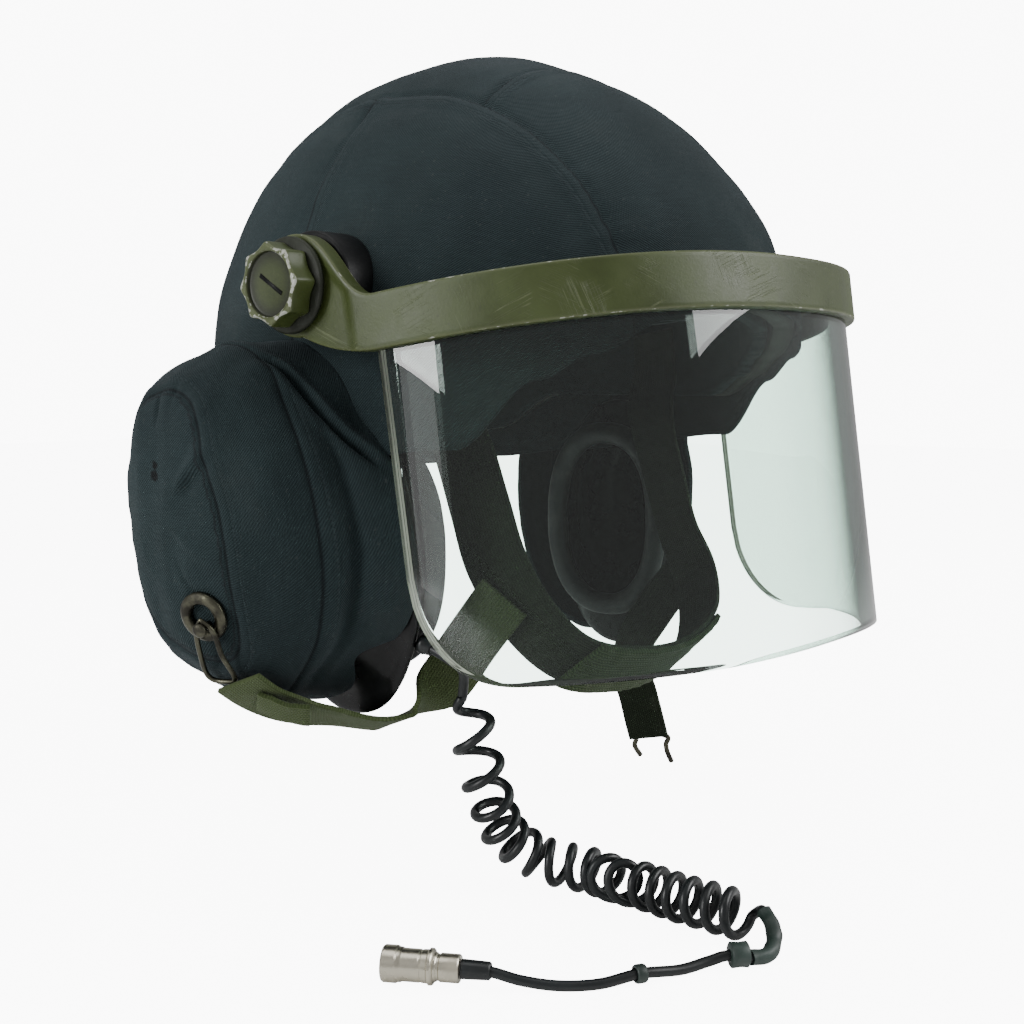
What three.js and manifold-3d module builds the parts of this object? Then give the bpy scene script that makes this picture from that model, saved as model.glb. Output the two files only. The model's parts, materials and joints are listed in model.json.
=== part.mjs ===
// Ballistic crew helmet: fabric cover over a hard shell, padded ear covers, clear visor,
// straps and a curly cord.
// Millimetres, Z up, the face looks along -Y, and the wearer's right side is -X.
// The origin is the crown contact, where the lining rests on the head.
import * as THREE from "three";
import { mergeVertices } from "three/addons/utils/BufferGeometryUtils.js";
import Module from "manifold-3d";

const wasm = await Module();
wasm.setup();

// Driving sizes
const GAP = 0.3; // running gap between pieces that touch
const CROWN_ABOVE_PIVOT = 93;
const CROWN_BEHIND_PIVOT = 17;
const FLOOR_Z = -256; // the surface that the free cord lies on, below the pivot axis

// The dome, about a point straight below the crown. Lengths are to the outside of the cover.
const DOME = {
  halfWidth: 122,
  front: 148,
  back: 122,
  height: 133.5,
  widestZ: -23.5,
  planPower: 2.26,
  sidePower: 1.88,
};
const SKIRT = { drop: 80, taper: 0.06 }; // how the wall draws in below the widest level
const COVER_WALL = 2;
const PANEL_PUFF = 1.5; // how far each fabric panel swells between its seams
const PUFF_WIDTH = 11;
const SHELL_WALL = 7;
const LAYER_GAP = 1; // between the curved layers, whose flat facets run at a slant to each other
const LINER_WALL = 6;
const STRIP_HALF = 66; // the centre panel of the cover runs front to back between two seams
const SIDE_SEAM_BEHIND_PIVOT = 22;
const CROSS_SEAM_Y = -36;
const CROSS_SEAM_LEAST_Z = 55;

// Height of the helmet's lower edge, by angle from the front
const RIM = [
  { angle: 0, z: -8 },
  { angle: 24, z: -14 },
  { angle: 38, z: -27 },
  { angle: 48, z: -36 },
  { angle: 60, z: -46 },
  { angle: 105, z: -46 },
  { angle: 125, z: -66 },
  { angle: 148, z: -84 },
  { angle: 180, z: -88 },
];

// Ear cover, from the middle of its outer face to the mouth that lies on the helmet's side
const EAR_POWER = 2.3;
const EAR_WALL = 3;
const EAR_ROWS = [
  { out: 180, y: 38, z: -91, halfLength: 0, halfHeight: 0 },
  { out: 178.6, y: 38, z: -91, halfLength: 15, halfHeight: 27 },
  { out: 172, y: 37, z: -92, halfLength: 30, halfHeight: 52 },
  { out: 159, y: 35, z: -95, halfLength: 41, halfHeight: 66 },
  { out: 141, y: 32, z: -97, halfLength: 48, halfHeight: 75.5 },
  { out: 127, y: 27, z: -98, halfLength: 55, halfHeight: 77.5 },
  { out: 114, y: 22, z: -98, halfLength: 61, halfHeight: 78 },
];
const FACE_LEAN = 0.06; // the outer face stands further out at its top
const CUP_WALL = 2.6;
const LEAST_MOUTH = 108; // the ear cover stays this far out where no helmet wall is behind it
const CUP_ROWS = [
  { out: 150, y: 24, z: -100, halfLength: 0, halfHeight: 0 },
  { out: 149, y: 24, z: -101, halfLength: 15, halfHeight: 25 },
  { out: 139, y: 20, z: -104, halfLength: 29, halfHeight: 44 },
  { out: 124, y: 17, z: -107, halfLength: 32, halfHeight: 49 },
  { out: 113, y: 12, z: -109, halfLength: 34, halfHeight: 53 },
  { out: 107, y: 9, z: -111, halfLength: 38, halfHeight: 59.1 },
  { out: 103.5, y: 6, z: -113.4, halfLength: 39, halfHeight: 66 },
  { out: 93, y: 5, z: -110, halfLength: 34, halfHeight: 47 },
];
const SEAL = { out: 87.7, y: 5, z: -110, halfLength: 32.7, halfHeight: 45.7, radius: 5 };

// Visor and its frame, in the plane of the frame, which is tipped up at the front
const VISOR_TIP = 8.83; // degrees
const FRAME = { halfWidth: 139.7, reach: 149.6, power: 2.47, wall: 8, top: -10.3, bottom: -31.5 };
const LOBE_RADIUS = 20;
const LOBE_BLEND_Y = -40;
const REBATE = { lip: 3.7, top: -16 };
const VISOR = { inset: 4, wall: 8, rearY: -36, bottomRear: -162, bottomFront: -167.4, corner: 42 };
const KNOB = { radius: 16.6, lobe: 1.1, lobes: 8, height: 10.3, recess: 12.6, recessDepth: 2.2 };
const WASHER = { radius: 18.8, thickness: 2.2 };
const STEM_RADIUS = 5;
const STEM_CLEARANCE = 0.3;
const BASE_DISC = { radius: 22, flat: 18.6, face: 130.2, holeDepth: 6 };

// Straps
const CHIN_WIDTH = 28;
const WEBBING = 2.2;
const CHIN_CUP_WALL = 3.2;
const HOOK_STRAP_WIDTH = 24;
const WIRE_RADIUS = 1.1;

// Free cord
const CORD_DIAMETER = 4.2;
const COIL_RADIUS = 8.4; // of the helix, to the middle of the cord

// Materials
const paint = (color, roughness, metalness = 0) =>
  new THREE.MeshStandardMaterial({ color, roughness, metalness });
const FINISH = {
  twill: paint(0x1c2429, 0.95),
  lining: paint(0x11161a, 0.95),
  shell: paint(0x3b4030, 0.7),
  olive: paint(0x4b5030, 0.45),
  clear: paint(0xcfd8d2, 0.05),
  plastic: paint(0x0c0d0e, 0.25),
  rubber: paint(0x141718, 0.7),
  webbing: paint(0x2f3a22, 0.9),
  wire: paint(0x5a5344, 0.45, 1),
  nickel: paint(0xb3ab98, 0.3, 1),
  sleeve: paint(0x1f2b26, 0.75),
};

// Assembly: everything is placed about the pivot axis, and the outer group moves it to the crown contact
const helmet = new THREE.Group();
const aboutPivot = new THREE.Group();
aboutPivot.position.set(0, -CROWN_BEHIND_PIVOT, -CROWN_ABOVE_PIVOT);
helmet.add(aboutPivot);
const visorGroup = new THREE.Group();
visorGroup.rotation.x = -THREE.MathUtils.degToRad(VISOR_TIP);
aboutPivot.add(visorGroup);

function addPiece(name, geometry, material, parent = aboutPivot) {
  const mesh = new THREE.Mesh(geometry, material);
  mesh.name = name;
  parent.add(mesh);
  return mesh;
}

const powerOf = (value, power) => Math.sign(value) * Math.max(Math.abs(value), 1e-9) ** power;

// Moves each vertex of a geometry by a rule, and turns its faces outward
function reshape(geometry, rule) {
  const place = geometry.getAttribute("position");
  const point = new THREE.Vector3();
  for (let i = 0; i < place.count; i++) {
    point.fromBufferAttribute(place, i);
    const moved = rule(point);
    place.setXYZ(i, moved.x, moved.y, moved.z);
  }
  return facingOut(geometry);
}

function signedVolume(geometry) {
  const solid = geometry.index ? geometry.toNonIndexed() : geometry;
  const place = solid.getAttribute("position");
  const [a, b, c] = [new THREE.Vector3(), new THREE.Vector3(), new THREE.Vector3()];
  let sum = 0;
  for (let i = 0; i < place.count; i += 3) {
    a.fromBufferAttribute(place, i);
    b.fromBufferAttribute(place, i + 1);
    c.fromBufferAttribute(place, i + 2);
    sum += a.dot(b.cross(c));
  }
  return sum / 6;
}

function facingOut(geometry) {
  if (signedVolume(geometry) < 0) {
    const index = geometry.index.array;
    for (let i = 0; i < index.length; i += 3) {
      [index[i + 1], index[i + 2]] = [index[i + 2], index[i + 1]];
    }
  }
  geometry.deleteAttribute("normal");
  geometry.deleteAttribute("uv");
  const merged = mergeVertices(geometry, 1e-3);
  merged.computeVertexNormals();
  return merged;
}

// Solid joins and cuts
function solidOf(geometry) {
  const bare = geometry.clone();
  bare.deleteAttribute("normal");
  bare.deleteAttribute("uv");
  const merged = mergeVertices(bare, 1e-3);
  const mesh = new wasm.Mesh({
    numProp: 3,
    vertProperties: merged.getAttribute("position").array,
    triVerts: new Uint32Array(merged.index.array),
  });
  return new wasm.Manifold(mesh);
}

function geometryOf(solid) {
  const mesh = solid.getMesh();
  const geometry = new THREE.BufferGeometry();
  geometry.setAttribute("position", new THREE.BufferAttribute(mesh.vertProperties, 3));
  geometry.setIndex(new THREE.BufferAttribute(mesh.triVerts, 1));
  geometry.computeVertexNormals();
  return geometry;
}

function mirrored(geometry) {
  const copy = geometry.clone();
  copy.scale(-1, 1, 1);
  const index = copy.index.array;
  for (let i = 0; i < index.length; i += 3) {
    [index[i + 1], index[i + 2]] = [index[i + 2], index[i + 1]];
  }
  copy.computeVertexNormals();
  return copy;
}

// A closed flat disc of two faces that a rule then shapes into a wall.
// The rule gets the angle, the share of the way from middle to edge, and the side: 1 outer, 0 inner.
function shapedWall(rows, segments, rule) {
  const profile = [];
  for (let i = 0; i <= rows; i++) profile.push(new THREE.Vector2(i / rows, 0));
  for (let i = rows; i >= 0; i--) profile.push(new THREE.Vector2(i / rows, 1));
  const disc = new THREE.LatheGeometry(profile, segments);
  return reshape(disc, (p) => rule(Math.atan2(p.x, p.z), Math.hypot(p.x, p.z), p.y));
}

// Dome
function tableAt(table, column, key, value) {
  const last = table.length - 1;
  let i = 0;
  while (i < last - 1 && table[i + 1][column] < value) i++;
  const [from, to] = [table[i], table[i + 1]];
  const share = THREE.MathUtils.clamp((value - from[column]) / (to[column] - from[column]), 0, 1);
  return THREE.MathUtils.lerp(from[key], to[key], share * share * (3 - 2 * share));
}

function domeReach(z) {
  if (z < DOME.widestZ) return 1 - SKIRT.taper * ((DOME.widestZ - z) / SKIRT.drop) ** 2;
  const rise = Math.min((z - DOME.widestZ) / DOME.height, 1);
  return (1 - rise ** DOME.sidePower) ** (1 / DOME.sidePower);
}

// Half the dome's width at a place seen from the side
function domeHalfWidth(y, z) {
  const reach = domeReach(z);
  const along = y - CROWN_BEHIND_PIVOT;
  const length = (along < 0 ? DOME.front : DOME.back) * reach;
  const share = Math.min(Math.abs(along) / length, 0.98);
  return DOME.halfWidth * reach * (1 - share ** DOME.planPower) ** (1 / DOME.planPower);
}

// The outer surface at an angle from the front and a share of the way down to the lower edge
function domeSurface(angle, down) {
  const quarter = Math.PI / 2;
  const rimZ = rimAt(angle);
  const rise = (rimZ - DOME.widestZ) / DOME.height;
  const rimPhi = rise > 0 ? Math.asin(rise ** (DOME.sidePower / 2)) : (rimZ - DOME.widestZ) / SKIRT.drop;
  const phi = quarter - (quarter - rimPhi) * down;
  const above = DOME.height * Math.sin(Math.max(phi, 0)) ** (2 / DOME.sidePower);
  const z = DOME.widestZ + (phi > 0 ? above : phi * SKIRT.drop);
  const reach = down === 0 ? 0 : domeReach(z);
  const bend = 2 / DOME.planPower;
  const [across, ahead] = [Math.sin(angle), Math.cos(angle)];
  const length = ahead > 0 ? DOME.front : DOME.back;
  return new THREE.Vector3(
    DOME.halfWidth * reach * powerOf(across, bend),
    CROWN_BEHIND_PIVOT - length * reach * powerOf(ahead, bend),
    z,
  );
}

function domePoint(angle, down, inset) {
  const point = domeSurface(angle, down);
  if (down === 0) return point.setZ(point.z - inset);
  const step = 0.01;
  const round = domeSurface(angle + step, down).sub(domeSurface(angle - step, down));
  const along = domeSurface(angle, Math.min(down + step, 1)).sub(domeSurface(angle, down - step));
  const normal = round.cross(along).normalize();
  const fromMiddle = new THREE.Vector3(point.x, point.y - CROWN_BEHIND_PIVOT, point.z + DOME.height);
  if (normal.dot(fromMiddle) < 0) normal.negate();
  return point.addScaledVector(normal, -inset);
}

const rimAt = (angle) =>
  tableAt(RIM, "angle", "z", THREE.MathUtils.radToDeg(Math.abs(Math.atan2(Math.sin(angle), Math.cos(angle)))));

// Seams draw the fabric down, and each panel swells between them
function panelSwell(p) {
  const side = Math.abs(p.x);
  const away = [Math.abs(side - STRIP_HALF)];
  if (side > STRIP_HALF) away.push(Math.abs(p.y - SIDE_SEAM_BEHIND_PIVOT));
  if (side < STRIP_HALF && p.z > CROSS_SEAM_LEAST_Z) away.push(Math.abs(p.y - CROSS_SEAM_Y));
  const nearest = Math.min(...away);
  return PANEL_PUFF * (1 - Math.exp(-((nearest / PUFF_WIDTH) ** 2)));
}

function coverPoint(angle, down, side) {
  if (side < 0.5) return domePoint(angle, down, PANEL_PUFF + COVER_WALL);
  return domePoint(angle, down, PANEL_PUFF - panelSwell(domeSurface(angle, down)));
}

const wallPoint = (inset, wall) => (angle, down, side) =>
  domePoint(angle, down, side > 0.5 ? inset : inset + wall);

const SHELL_INSET = PANEL_PUFF + COVER_WALL + LAYER_GAP;
const LINER_INSET = SHELL_INSET + SHELL_WALL + LAYER_GAP;
addPiece("cover", shapedWall(12, 48, coverPoint), FINISH.twill);
addPiece("shell", shapedWall(12, 48, wallPoint(SHELL_INSET, SHELL_WALL)), FINISH.shell);
addPiece("lining", shapedWall(12, 48, wallPoint(LINER_INSET, LINER_WALL)), FINISH.lining);

// Ear covers and ear cups
function rowAt(rows, share) {
  const place = share * (rows.length - 1);
  const i = Math.min(Math.floor(place), rows.length - 2);
  const row = {};
  for (const key of Object.keys(rows[0])) {
    const before = rows[Math.max(i - 1, 0)];
    const after = rows[Math.min(i + 2, rows.length - 1)];
    const [a, b, c, d] = [before, rows[i], rows[i + 1], after];
    const t = place - i;
    const slopeB = (c[key] - a[key]) / 2;
    const slopeC = (d[key] - b[key]) / 2;
    const hermite =
      (2 * t ** 3 - 3 * t ** 2 + 1) * b[key] +
      (t ** 3 - 2 * t ** 2 + t) * slopeB +
      (3 * t ** 2 - 2 * t ** 3) * c[key] +
      (t ** 3 - t ** 2) * slopeC;
    row[key] = i === 0 ? THREE.MathUtils.lerp(b[key], c[key], t) : hermite;
  }
  return row;
}

function ovalPoint(rows, share, angle, inset) {
  const row = rowAt(rows, share);
  const bend = 2 / EAR_POWER;
  const reach = (size) => Math.max(size - inset, 0) * (share === 0 ? 0 : 1);
  const y = row.y + reach(row.halfLength) * powerOf(Math.cos(angle), bend);
  const z = row.z + reach(row.halfHeight) * powerOf(Math.sin(angle), bend);
  return new THREE.Vector3(-(row.out - inset), y, z);
}

function earCoverPoint(angle, share, side) {
  const inset = side > 0.5 ? 0 : EAR_WALL;
  const p = ovalPoint(EAR_ROWS, share, angle, inset);
  const mouth = ovalPoint(EAR_ROWS, 1, angle, inset);
  const mouthOut = Math.max(domeHalfWidth(mouth.y, mouth.z) + 2 * GAP, LEAST_MOUTH);
  const draw = THREE.MathUtils.smoothstep(share, 0.45, 1);
  const lean = (1 - share) * FACE_LEAN * (p.z - EAR_ROWS[0].z);
  p.x -= lean + inset * draw + (mouthOut - EAR_ROWS.at(-1).out) * draw;
  return p;
}

// How far out the ear cover stands at a place on its face
function earCoverOut(y, z) {
  let [low, high] = [0, 1];
  for (let i = 0; i < 30; i++) {
    const share = (low + high) / 2;
    const row = rowAt(EAR_ROWS, share);
    const spread =
      (Math.abs(y - row.y) / Math.max(row.halfLength, 1e-6)) ** EAR_POWER +
      (Math.abs(z - row.z) / Math.max(row.halfHeight, 1e-6)) ** EAR_POWER;
    if (spread > 1) low = share;
    else high = share;
  }
  return rowAt(EAR_ROWS, low).out + (1 - low) * FACE_LEAN * (z - EAR_ROWS[0].z);
}

const cupPoint = (angle, share, side) => {
  const inset = side > 0.5 ? 0 : CUP_WALL;
  const p = ovalPoint(CUP_ROWS, share, angle, inset);
  p.x -= inset * THREE.MathUtils.smoothstep(share, 0.8, 1);
  return p;
};

function sealGeometry() {
  const ring = new THREE.TorusGeometry(10, 3, 8, 24);
  const bend = 2 / EAR_POWER;
  return reshape(ring, (p) => {
    const angle = Math.atan2(p.y, p.x);
    const outward = ((Math.hypot(p.x, p.y) - 10) / 3) * SEAL.radius * 1.15;
    return new THREE.Vector3(
      -(SEAL.out + (p.z / 3) * SEAL.radius),
      SEAL.y + (SEAL.halfLength + outward) * powerOf(Math.cos(angle), bend),
      SEAL.z + (SEAL.halfHeight + outward) * powerOf(Math.sin(angle), bend),
    );
  });
}

function addPair(name, geometry, material, parent = aboutPivot) {
  addPiece(name + "_right", geometry, material, parent);
  addPiece(name + "_left", mirrored(geometry), material, parent);
}

addPair("ear_cover", shapedWall(10, 32, earCoverPoint), FINISH.twill);
addPair("ear_cup", shapedWall(7, 24, cupPoint), FINISH.plastic);
addPair("ear_seal", sealGeometry(), FINISH.lining);

// Visor frame and visor
function wallBand(inset, wall, low, high, rearY, steps = 44) {
  const side = (offset) => {
    const [width, reach] = [FRAME.halfWidth - offset, FRAME.reach - offset];
    const lastAngle = rearY < 0 ? Math.acos((-rearY / reach) ** (FRAME.power / 2)) : Math.PI / 2;
    const bend = 2 / FRAME.power;
    const points = rearY < 0 ? [] : [new THREE.Vector2(-width, rearY)];
    for (let i = 0; i <= steps; i++) {
      const angle = lastAngle * ((2 * i) / steps - 1);
      points.push(
        new THREE.Vector2(width * powerOf(Math.sin(angle), bend), -reach * powerOf(Math.cos(angle), bend)),
      );
    }
    if (rearY >= 0) points.push(new THREE.Vector2(width, rearY));
    return points;
  };
  const outline = new THREE.Shape([...side(inset), ...side(inset + wall).reverse()]);
  const band = new THREE.ExtrudeGeometry(outline, { depth: high - low, bevelEnabled: false });
  return solidOf(band.translate(0, 0, low));
}

// A side view, drawn with Y across and Z up, cut through the full width
function sideCut(shape) {
  const width = 2 * FRAME.halfWidth + 20;
  const slab = new THREE.ExtrudeGeometry(shape, { depth: width, bevelEnabled: false, curveSegments: 10 });
  slab.translate(0, 0, -width / 2);
  slab.applyMatrix4(new THREE.Matrix4().set(0, 0, 1, 0, 1, 0, 0, 0, 0, 1, 0, 0, 0, 0, 0, 1));
  return solidOf(slab);
}

// A round bar along X between two values of x
function barAlongX(radius, fromX, toX, sides = 32) {
  const bar = new THREE.CylinderGeometry(radius, radius, Math.abs(toX - fromX), sides);
  bar.rotateZ(Math.PI / 2);
  return solidOf(bar.translate((fromX + toX) / 2, 0, 0));
}

function frameGeometry() {
  const front = -(FRAME.reach + 10);
  const profile = new THREE.Shape();
  profile.moveTo(front, FRAME.bottom);
  profile.lineTo(LOBE_BLEND_Y, FRAME.bottom);
  profile.bezierCurveTo(-26, FRAME.bottom, -12, -27, 0, -LOBE_RADIUS);
  profile.absarc(0, 0, LOBE_RADIUS, -Math.PI / 2, Math.PI * 0.6, false);
  profile.bezierCurveTo(-24, 15, -24, FRAME.top, LOBE_BLEND_Y, FRAME.top);
  profile.lineTo(front, FRAME.top);
  const band = wallBand(0, FRAME.wall, -LOBE_RADIUS * 2, LOBE_RADIUS * 2, LOBE_RADIUS + 2);
  const rebate = wallBand(REBATE.lip, 30, FRAME.bottom - 5, REBATE.top, VISOR.rearY + GAP);
  const reach = FRAME.halfWidth + 5;
  const hole = barAlongX(STEM_RADIUS + STEM_CLEARANCE, -reach, reach, 24);
  return geometryOf(band.intersect(sideCut(profile)).subtract(rebate).subtract(hole));
}

function visorGeometry() {
  const front = -(FRAME.reach + 10);
  const top = REBATE.top - GAP;
  const { rearY, bottomRear, corner } = VISOR;
  const profile = new THREE.Shape();
  profile.moveTo(front, VISOR.bottomFront);
  profile.lineTo(rearY - corner, bottomRear - 1.6);
  profile.bezierCurveTo(rearY - corner * 0.45, bottomRear - 0.6, rearY, bottomRear + corner * 0.45, rearY, bottomRear + corner);
  profile.lineTo(rearY, top);
  profile.lineTo(front, top);
  const wall = wallBand(VISOR.inset, VISOR.wall, bottomRear - 20, top + 10, rearY + 10);
  return geometryOf(wall.intersect(sideCut(profile)));
}

addPiece("visor_frame", frameGeometry(), FINISH.olive, visorGroup);
addPiece("visor", visorGeometry(), FINISH.clear, visorGroup);

// Pivots
function baseDiscGeometry() {
  const disc = shapedWall(4, 32, (angle, share, side) => {
    const below = Math.max(-Math.sin(angle), 1e-6);
    const radius = Math.min(BASE_DISC.radius, BASE_DISC.flat / below) * share;
    const [y, z] = [radius * Math.cos(angle), radius * Math.sin(angle)];
    const x = side > 0.5 ? BASE_DISC.face : domeHalfWidth(y, z) + 1.4 * GAP;
    return new THREE.Vector3(-x, y, z);
  });
  const hole = barAlongX(STEM_RADIUS + STEM_CLEARANCE, -BASE_DISC.face - 5, -BASE_DISC.face + BASE_DISC.holeDepth, 24);
  return geometryOf(solidOf(disc).subtract(hole));
}

function washerGeometry() {
  const inner = FRAME.halfWidth + GAP;
  const ring = barAlongX(WASHER.radius, -inner - WASHER.thickness, -inner);
  const hole = barAlongX(STEM_RADIUS + STEM_CLEARANCE, -inner - WASHER.thickness - 1, -inner + 1, 24);
  return geometryOf(ring.subtract(hole));
}

function knobGeometry() {
  const inner = FRAME.halfWidth + GAP + WASHER.thickness + GAP;
  const outer = inner + KNOB.height;
  const outline = [];
  const steps = KNOB.lobes * 6;
  for (let i = 0; i < steps; i++) {
    const angle = (2 * Math.PI * i) / steps;
    const radius = KNOB.radius - KNOB.lobe + KNOB.lobe * Math.cos(KNOB.lobes * angle);
    outline.push(new THREE.Vector2(radius * Math.cos(angle), radius * Math.sin(angle)));
  }
  const body = new THREE.ExtrudeGeometry(new THREE.Shape(outline), {
    depth: KNOB.height - 3,
    bevelThickness: 1.5,
    bevelSize: 1.2,
    bevelOffset: -1.2,
    bevelSegments: 2,
  });
  body.rotateY(-Math.PI / 2).translate(-inner - 1.5, 0, 0);
  const recess = barAlongX(KNOB.recess, -outer - 2, -outer + KNOB.recessDepth);
  const slot = new THREE.BoxGeometry(2.4, 9, 1.6).rotateX(-0.5).translate(-outer + KNOB.recessDepth, 0, 0);
  const stem = barAlongX(STEM_RADIUS, -inner - 3, -BASE_DISC.face + BASE_DISC.holeDepth - GAP, 24);
  return geometryOf(solidOf(body).subtract(recess).subtract(solidOf(slot)).add(stem));
}

addPair("pivot_base", baseDiscGeometry(), FINISH.plastic);
addPair("knob_washer", washerGeometry(), FINISH.rubber);
addPair("knob", knobGeometry(), FINISH.olive);

// Straps: a flat band along a curve, with the way its face looks given at each point
function ribbon(rows, width, thickness, steps) {
  const path = new THREE.CatmullRomCurve3(rows.map((row) => new THREE.Vector3(...row.at)), false, "centripetal");
  const faces = new THREE.CatmullRomCurve3(rows.map((row) => new THREE.Vector3(...row.face)), false, "catmullrom");
  const box = new THREE.BoxGeometry(1, 1, 1, steps, 1, 1);
  return reshape(box, (p) => {
    const share = THREE.MathUtils.clamp(p.x + 0.5, 0, 1);
    const along = path.getTangent(share);
    const face = faces.getPoint(share);
    face.addScaledVector(along, -face.dot(along)).normalize();
    const across = new THREE.Vector3().crossVectors(along, face);
    return path.getPoint(share).addScaledVector(across, p.y * width).addScaledVector(face, p.z * thickness);
  });
}

const CHIN_RIGHT = [
  { at: [-97.9, -18, -12], face: [-1, -0.16, 0] },
  { at: [-97, -20, -26], face: [-1, -0.16, -0.2] },
  { at: [-89, -24, -39], face: [-1, -0.1, -0.8] },
  { at: [-79.5, -28.5, -50], face: [-1, -0.15, -0.6] },
  { at: [-75.5, -34, -66], face: [-1, -0.2, -0.1] },
  { at: [-74.5, -42, -90], face: [-1, -0.2, 0.1] },
  { at: [-74, -50, -112], face: [-1, -0.3, -0.05] },
  { at: [-71, -62, -132], face: [-1, -0.35, -0.3] },
  { at: [-60, -71, -150], face: [-0.8, -0.35, -0.6] },
  { at: [-44, -76, -161], face: [-0.5, -0.4, -0.85] },
  { at: [-22, -80, -166], face: [-0.2, -0.4, -0.95] },
];
const CHIN_MIDDLE = { at: [0, -81, -167.5], face: [0, -0.4, -0.95] };
const otherSide = ({ at, face }) => ({ at: [-at[0], at[1], at[2]], face: [-face[0], face[1], face[2]] });
const chinRows = [...CHIN_RIGHT, CHIN_MIDDLE, ...CHIN_RIGHT.toReversed().map(otherSide)];
addPiece("chin_strap", ribbon(chinRows, CHIN_WIDTH, WEBBING, 56), FINISH.webbing);

const outward = (row, by) => {
  const way = new THREE.Vector3(...row.face).normalize();
  return { at: new THREE.Vector3(...row.at).addScaledVector(way, by).toArray(), face: row.face };
};
const cupRows = chinRows.slice(9, 14).map((row) => outward(row, WEBBING / 2 + CHIN_CUP_WALL / 2 + 5 * GAP));
addPiece("chin_cup", ribbon(cupRows, CHIN_WIDTH + 5, CHIN_CUP_WALL, 24), FINISH.webbing);

// Straps that run back under each ear cup, one fastened and one hanging
const HOOK_RIGHT = [
  { at: [-76.7, -57, -126], face: [-1, -0.3, -0.15] },
  { at: [-77, -40, -146], face: [-1, 0, -0.4] },
  { at: [-79, -24, -167], face: [-0.8, -0.1, -0.7] },
  { at: [-90, -15, -179], face: [-0.3, -0.2, -0.95] },
  { at: [-104, -11, -182], face: [0, -0.4, -0.9] },
  { at: [-120, 0.5, -178.4], face: [-0.05, -0.45, -0.9] },
  { at: [-130, 5, -175.6], face: [-0.15, -0.45, -0.88] },
  { at: [-141.5, 9, -170.8], face: [-0.3, -0.45, -0.82] },
  { at: [-152.5, 11.8, -165], face: [-0.45, -0.42, -0.78] },
  { at: [-162, 13.5, -157.6], face: [-0.6, -0.4, -0.7] },
];
addPiece("hook_strap_right", ribbon(HOOK_RIGHT, HOOK_STRAP_WIDTH, WEBBING, 30), FINISH.webbing);
const HOOK_LEFT = [
  otherSide(HOOK_RIGHT[0]),
  otherSide(HOOK_RIGHT[1]),
  { at: [79, -22, -169], face: [1, 0, -0.3] },
  { at: [86, -13, -187], face: [1, 0, -0.2] },
  { at: [91, -15, -206], face: [1, 0, -0.1] },
  { at: [94, -20, -228], face: [1, 0, 0] },
];
addPiece("hook_strap_left", ribbon(HOOK_LEFT, HOOK_STRAP_WIDTH, WEBBING, 24), FINISH.webbing);
const TAB_RIGHT = [
  { at: [-154.6, 10.3, -165.9], face: [-0.5, -0.45, -0.75] },
  { at: [-152, 3, -174], face: [-0.5, -0.5, -0.7] },
  { at: [-148, -5, -178], face: [-0.5, -0.5, -0.7] },
  { at: [-142, -13, -179], face: [-0.5, -0.5, -0.7] },
];
addPiece("strap_tail_right", ribbon(TAB_RIGHT, 18, WEBBING, 8), FINISH.webbing);

// Wire hooks, eyelets and studs
function wireLoop(points, closed, steps) {
  const path = new THREE.CatmullRomCurve3(points, closed, "centripetal");
  if (closed) return reshape(new THREE.TubeGeometry(path, steps, WIRE_RADIUS, 6, true), (p) => p.clone());
  return rod(path, WIRE_RADIUS, steps, 6);
}

function rod(path, radius, steps, sides) {
  const section = new THREE.Shape();
  for (let i = 0; i < sides; i++) {
    const angle = (2 * Math.PI * i) / sides;
    if (i) section.lineTo(radius * Math.cos(angle), radius * Math.sin(angle));
    else section.moveTo(radius, 0);
  }
  const bar = new THREE.ExtrudeGeometry(section, { steps, extrudePath: path, bevelEnabled: false });
  return reshape(mergeVertices(bar, 1e-4), (p) => p.clone());
}

const onEarCover = (y, z, proud) => new THREE.Vector3(-(earCoverOut(y, z) + proud), y, z);
const EYELET = { y: 20.5, z: -130, radius: 10.5, hole: 5.6, proud: 1.4 };
const STUD = { y: 19, z: -133 };
const BAIL_RIGHT = [
  [18.1, -130.6, 4.4],
  [14.3, -135.6, 4.4],
  [15.8, -145.6, 3.6],
  [16.4, -154.5, 3.4],
  [18.6, -158, 3.4],
  [26.6, -158.6, 3.4],
  [28.8, -155.5, 3.4],
  [25, -146.1, 3.6],
  [21.6, -136, 4.4],
];
const bailPoints = BAIL_RIGHT.map(([y, z, proud]) => onEarCover(y, z, proud));
addPiece("wire_hook_right", wireLoop(bailPoints, true, 36), FINISH.wire);

function faceWay(y, z) {
  const step = 3;
  const slopeY = (earCoverOut(y + step, z) - earCoverOut(y - step, z)) / (2 * step);
  const slopeZ = (earCoverOut(y, z + step) - earCoverOut(y, z - step)) / (2 * step);
  return new THREE.Vector3(-1, -slopeY, -slopeZ).normalize();
}

// A turned piece whose axis stands on the ear cover's face
function turnedOnEar(profile, y, z, sides) {
  const turned = new THREE.LatheGeometry(profile.map(([r, h]) => new THREE.Vector2(r, h)), sides);
  const way = faceWay(y, z);
  const turn = new THREE.Quaternion().setFromUnitVectors(new THREE.Vector3(0, 1, 0), way);
  const foot = onEarCover(y, z, GAP);
  return reshape(turned, (p) => p.clone().applyQuaternion(turn).add(foot));
}

const eyeletProfile = [
  [EYELET.hole, 0],
  [EYELET.radius, 0],
  [EYELET.radius, 0.5],
  [EYELET.radius - 2, EYELET.proud],
  [EYELET.hole + 0.6, EYELET.proud],
  [EYELET.hole, 0],
];
addPair("eyelet", turnedOnEar(eyeletProfile, EYELET.y, EYELET.z, 24), FINISH.wire);
const studProfile = [
  [0, 0],
  [1.4, 0],
  [1.4, 5.6],
  [3, 5.6],
  [2.8, 7],
  [0, 7.6],
];
addPair("stud", turnedOnEar(studProfile, STUD.y, STUD.z, 16), FINISH.wire);

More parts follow.
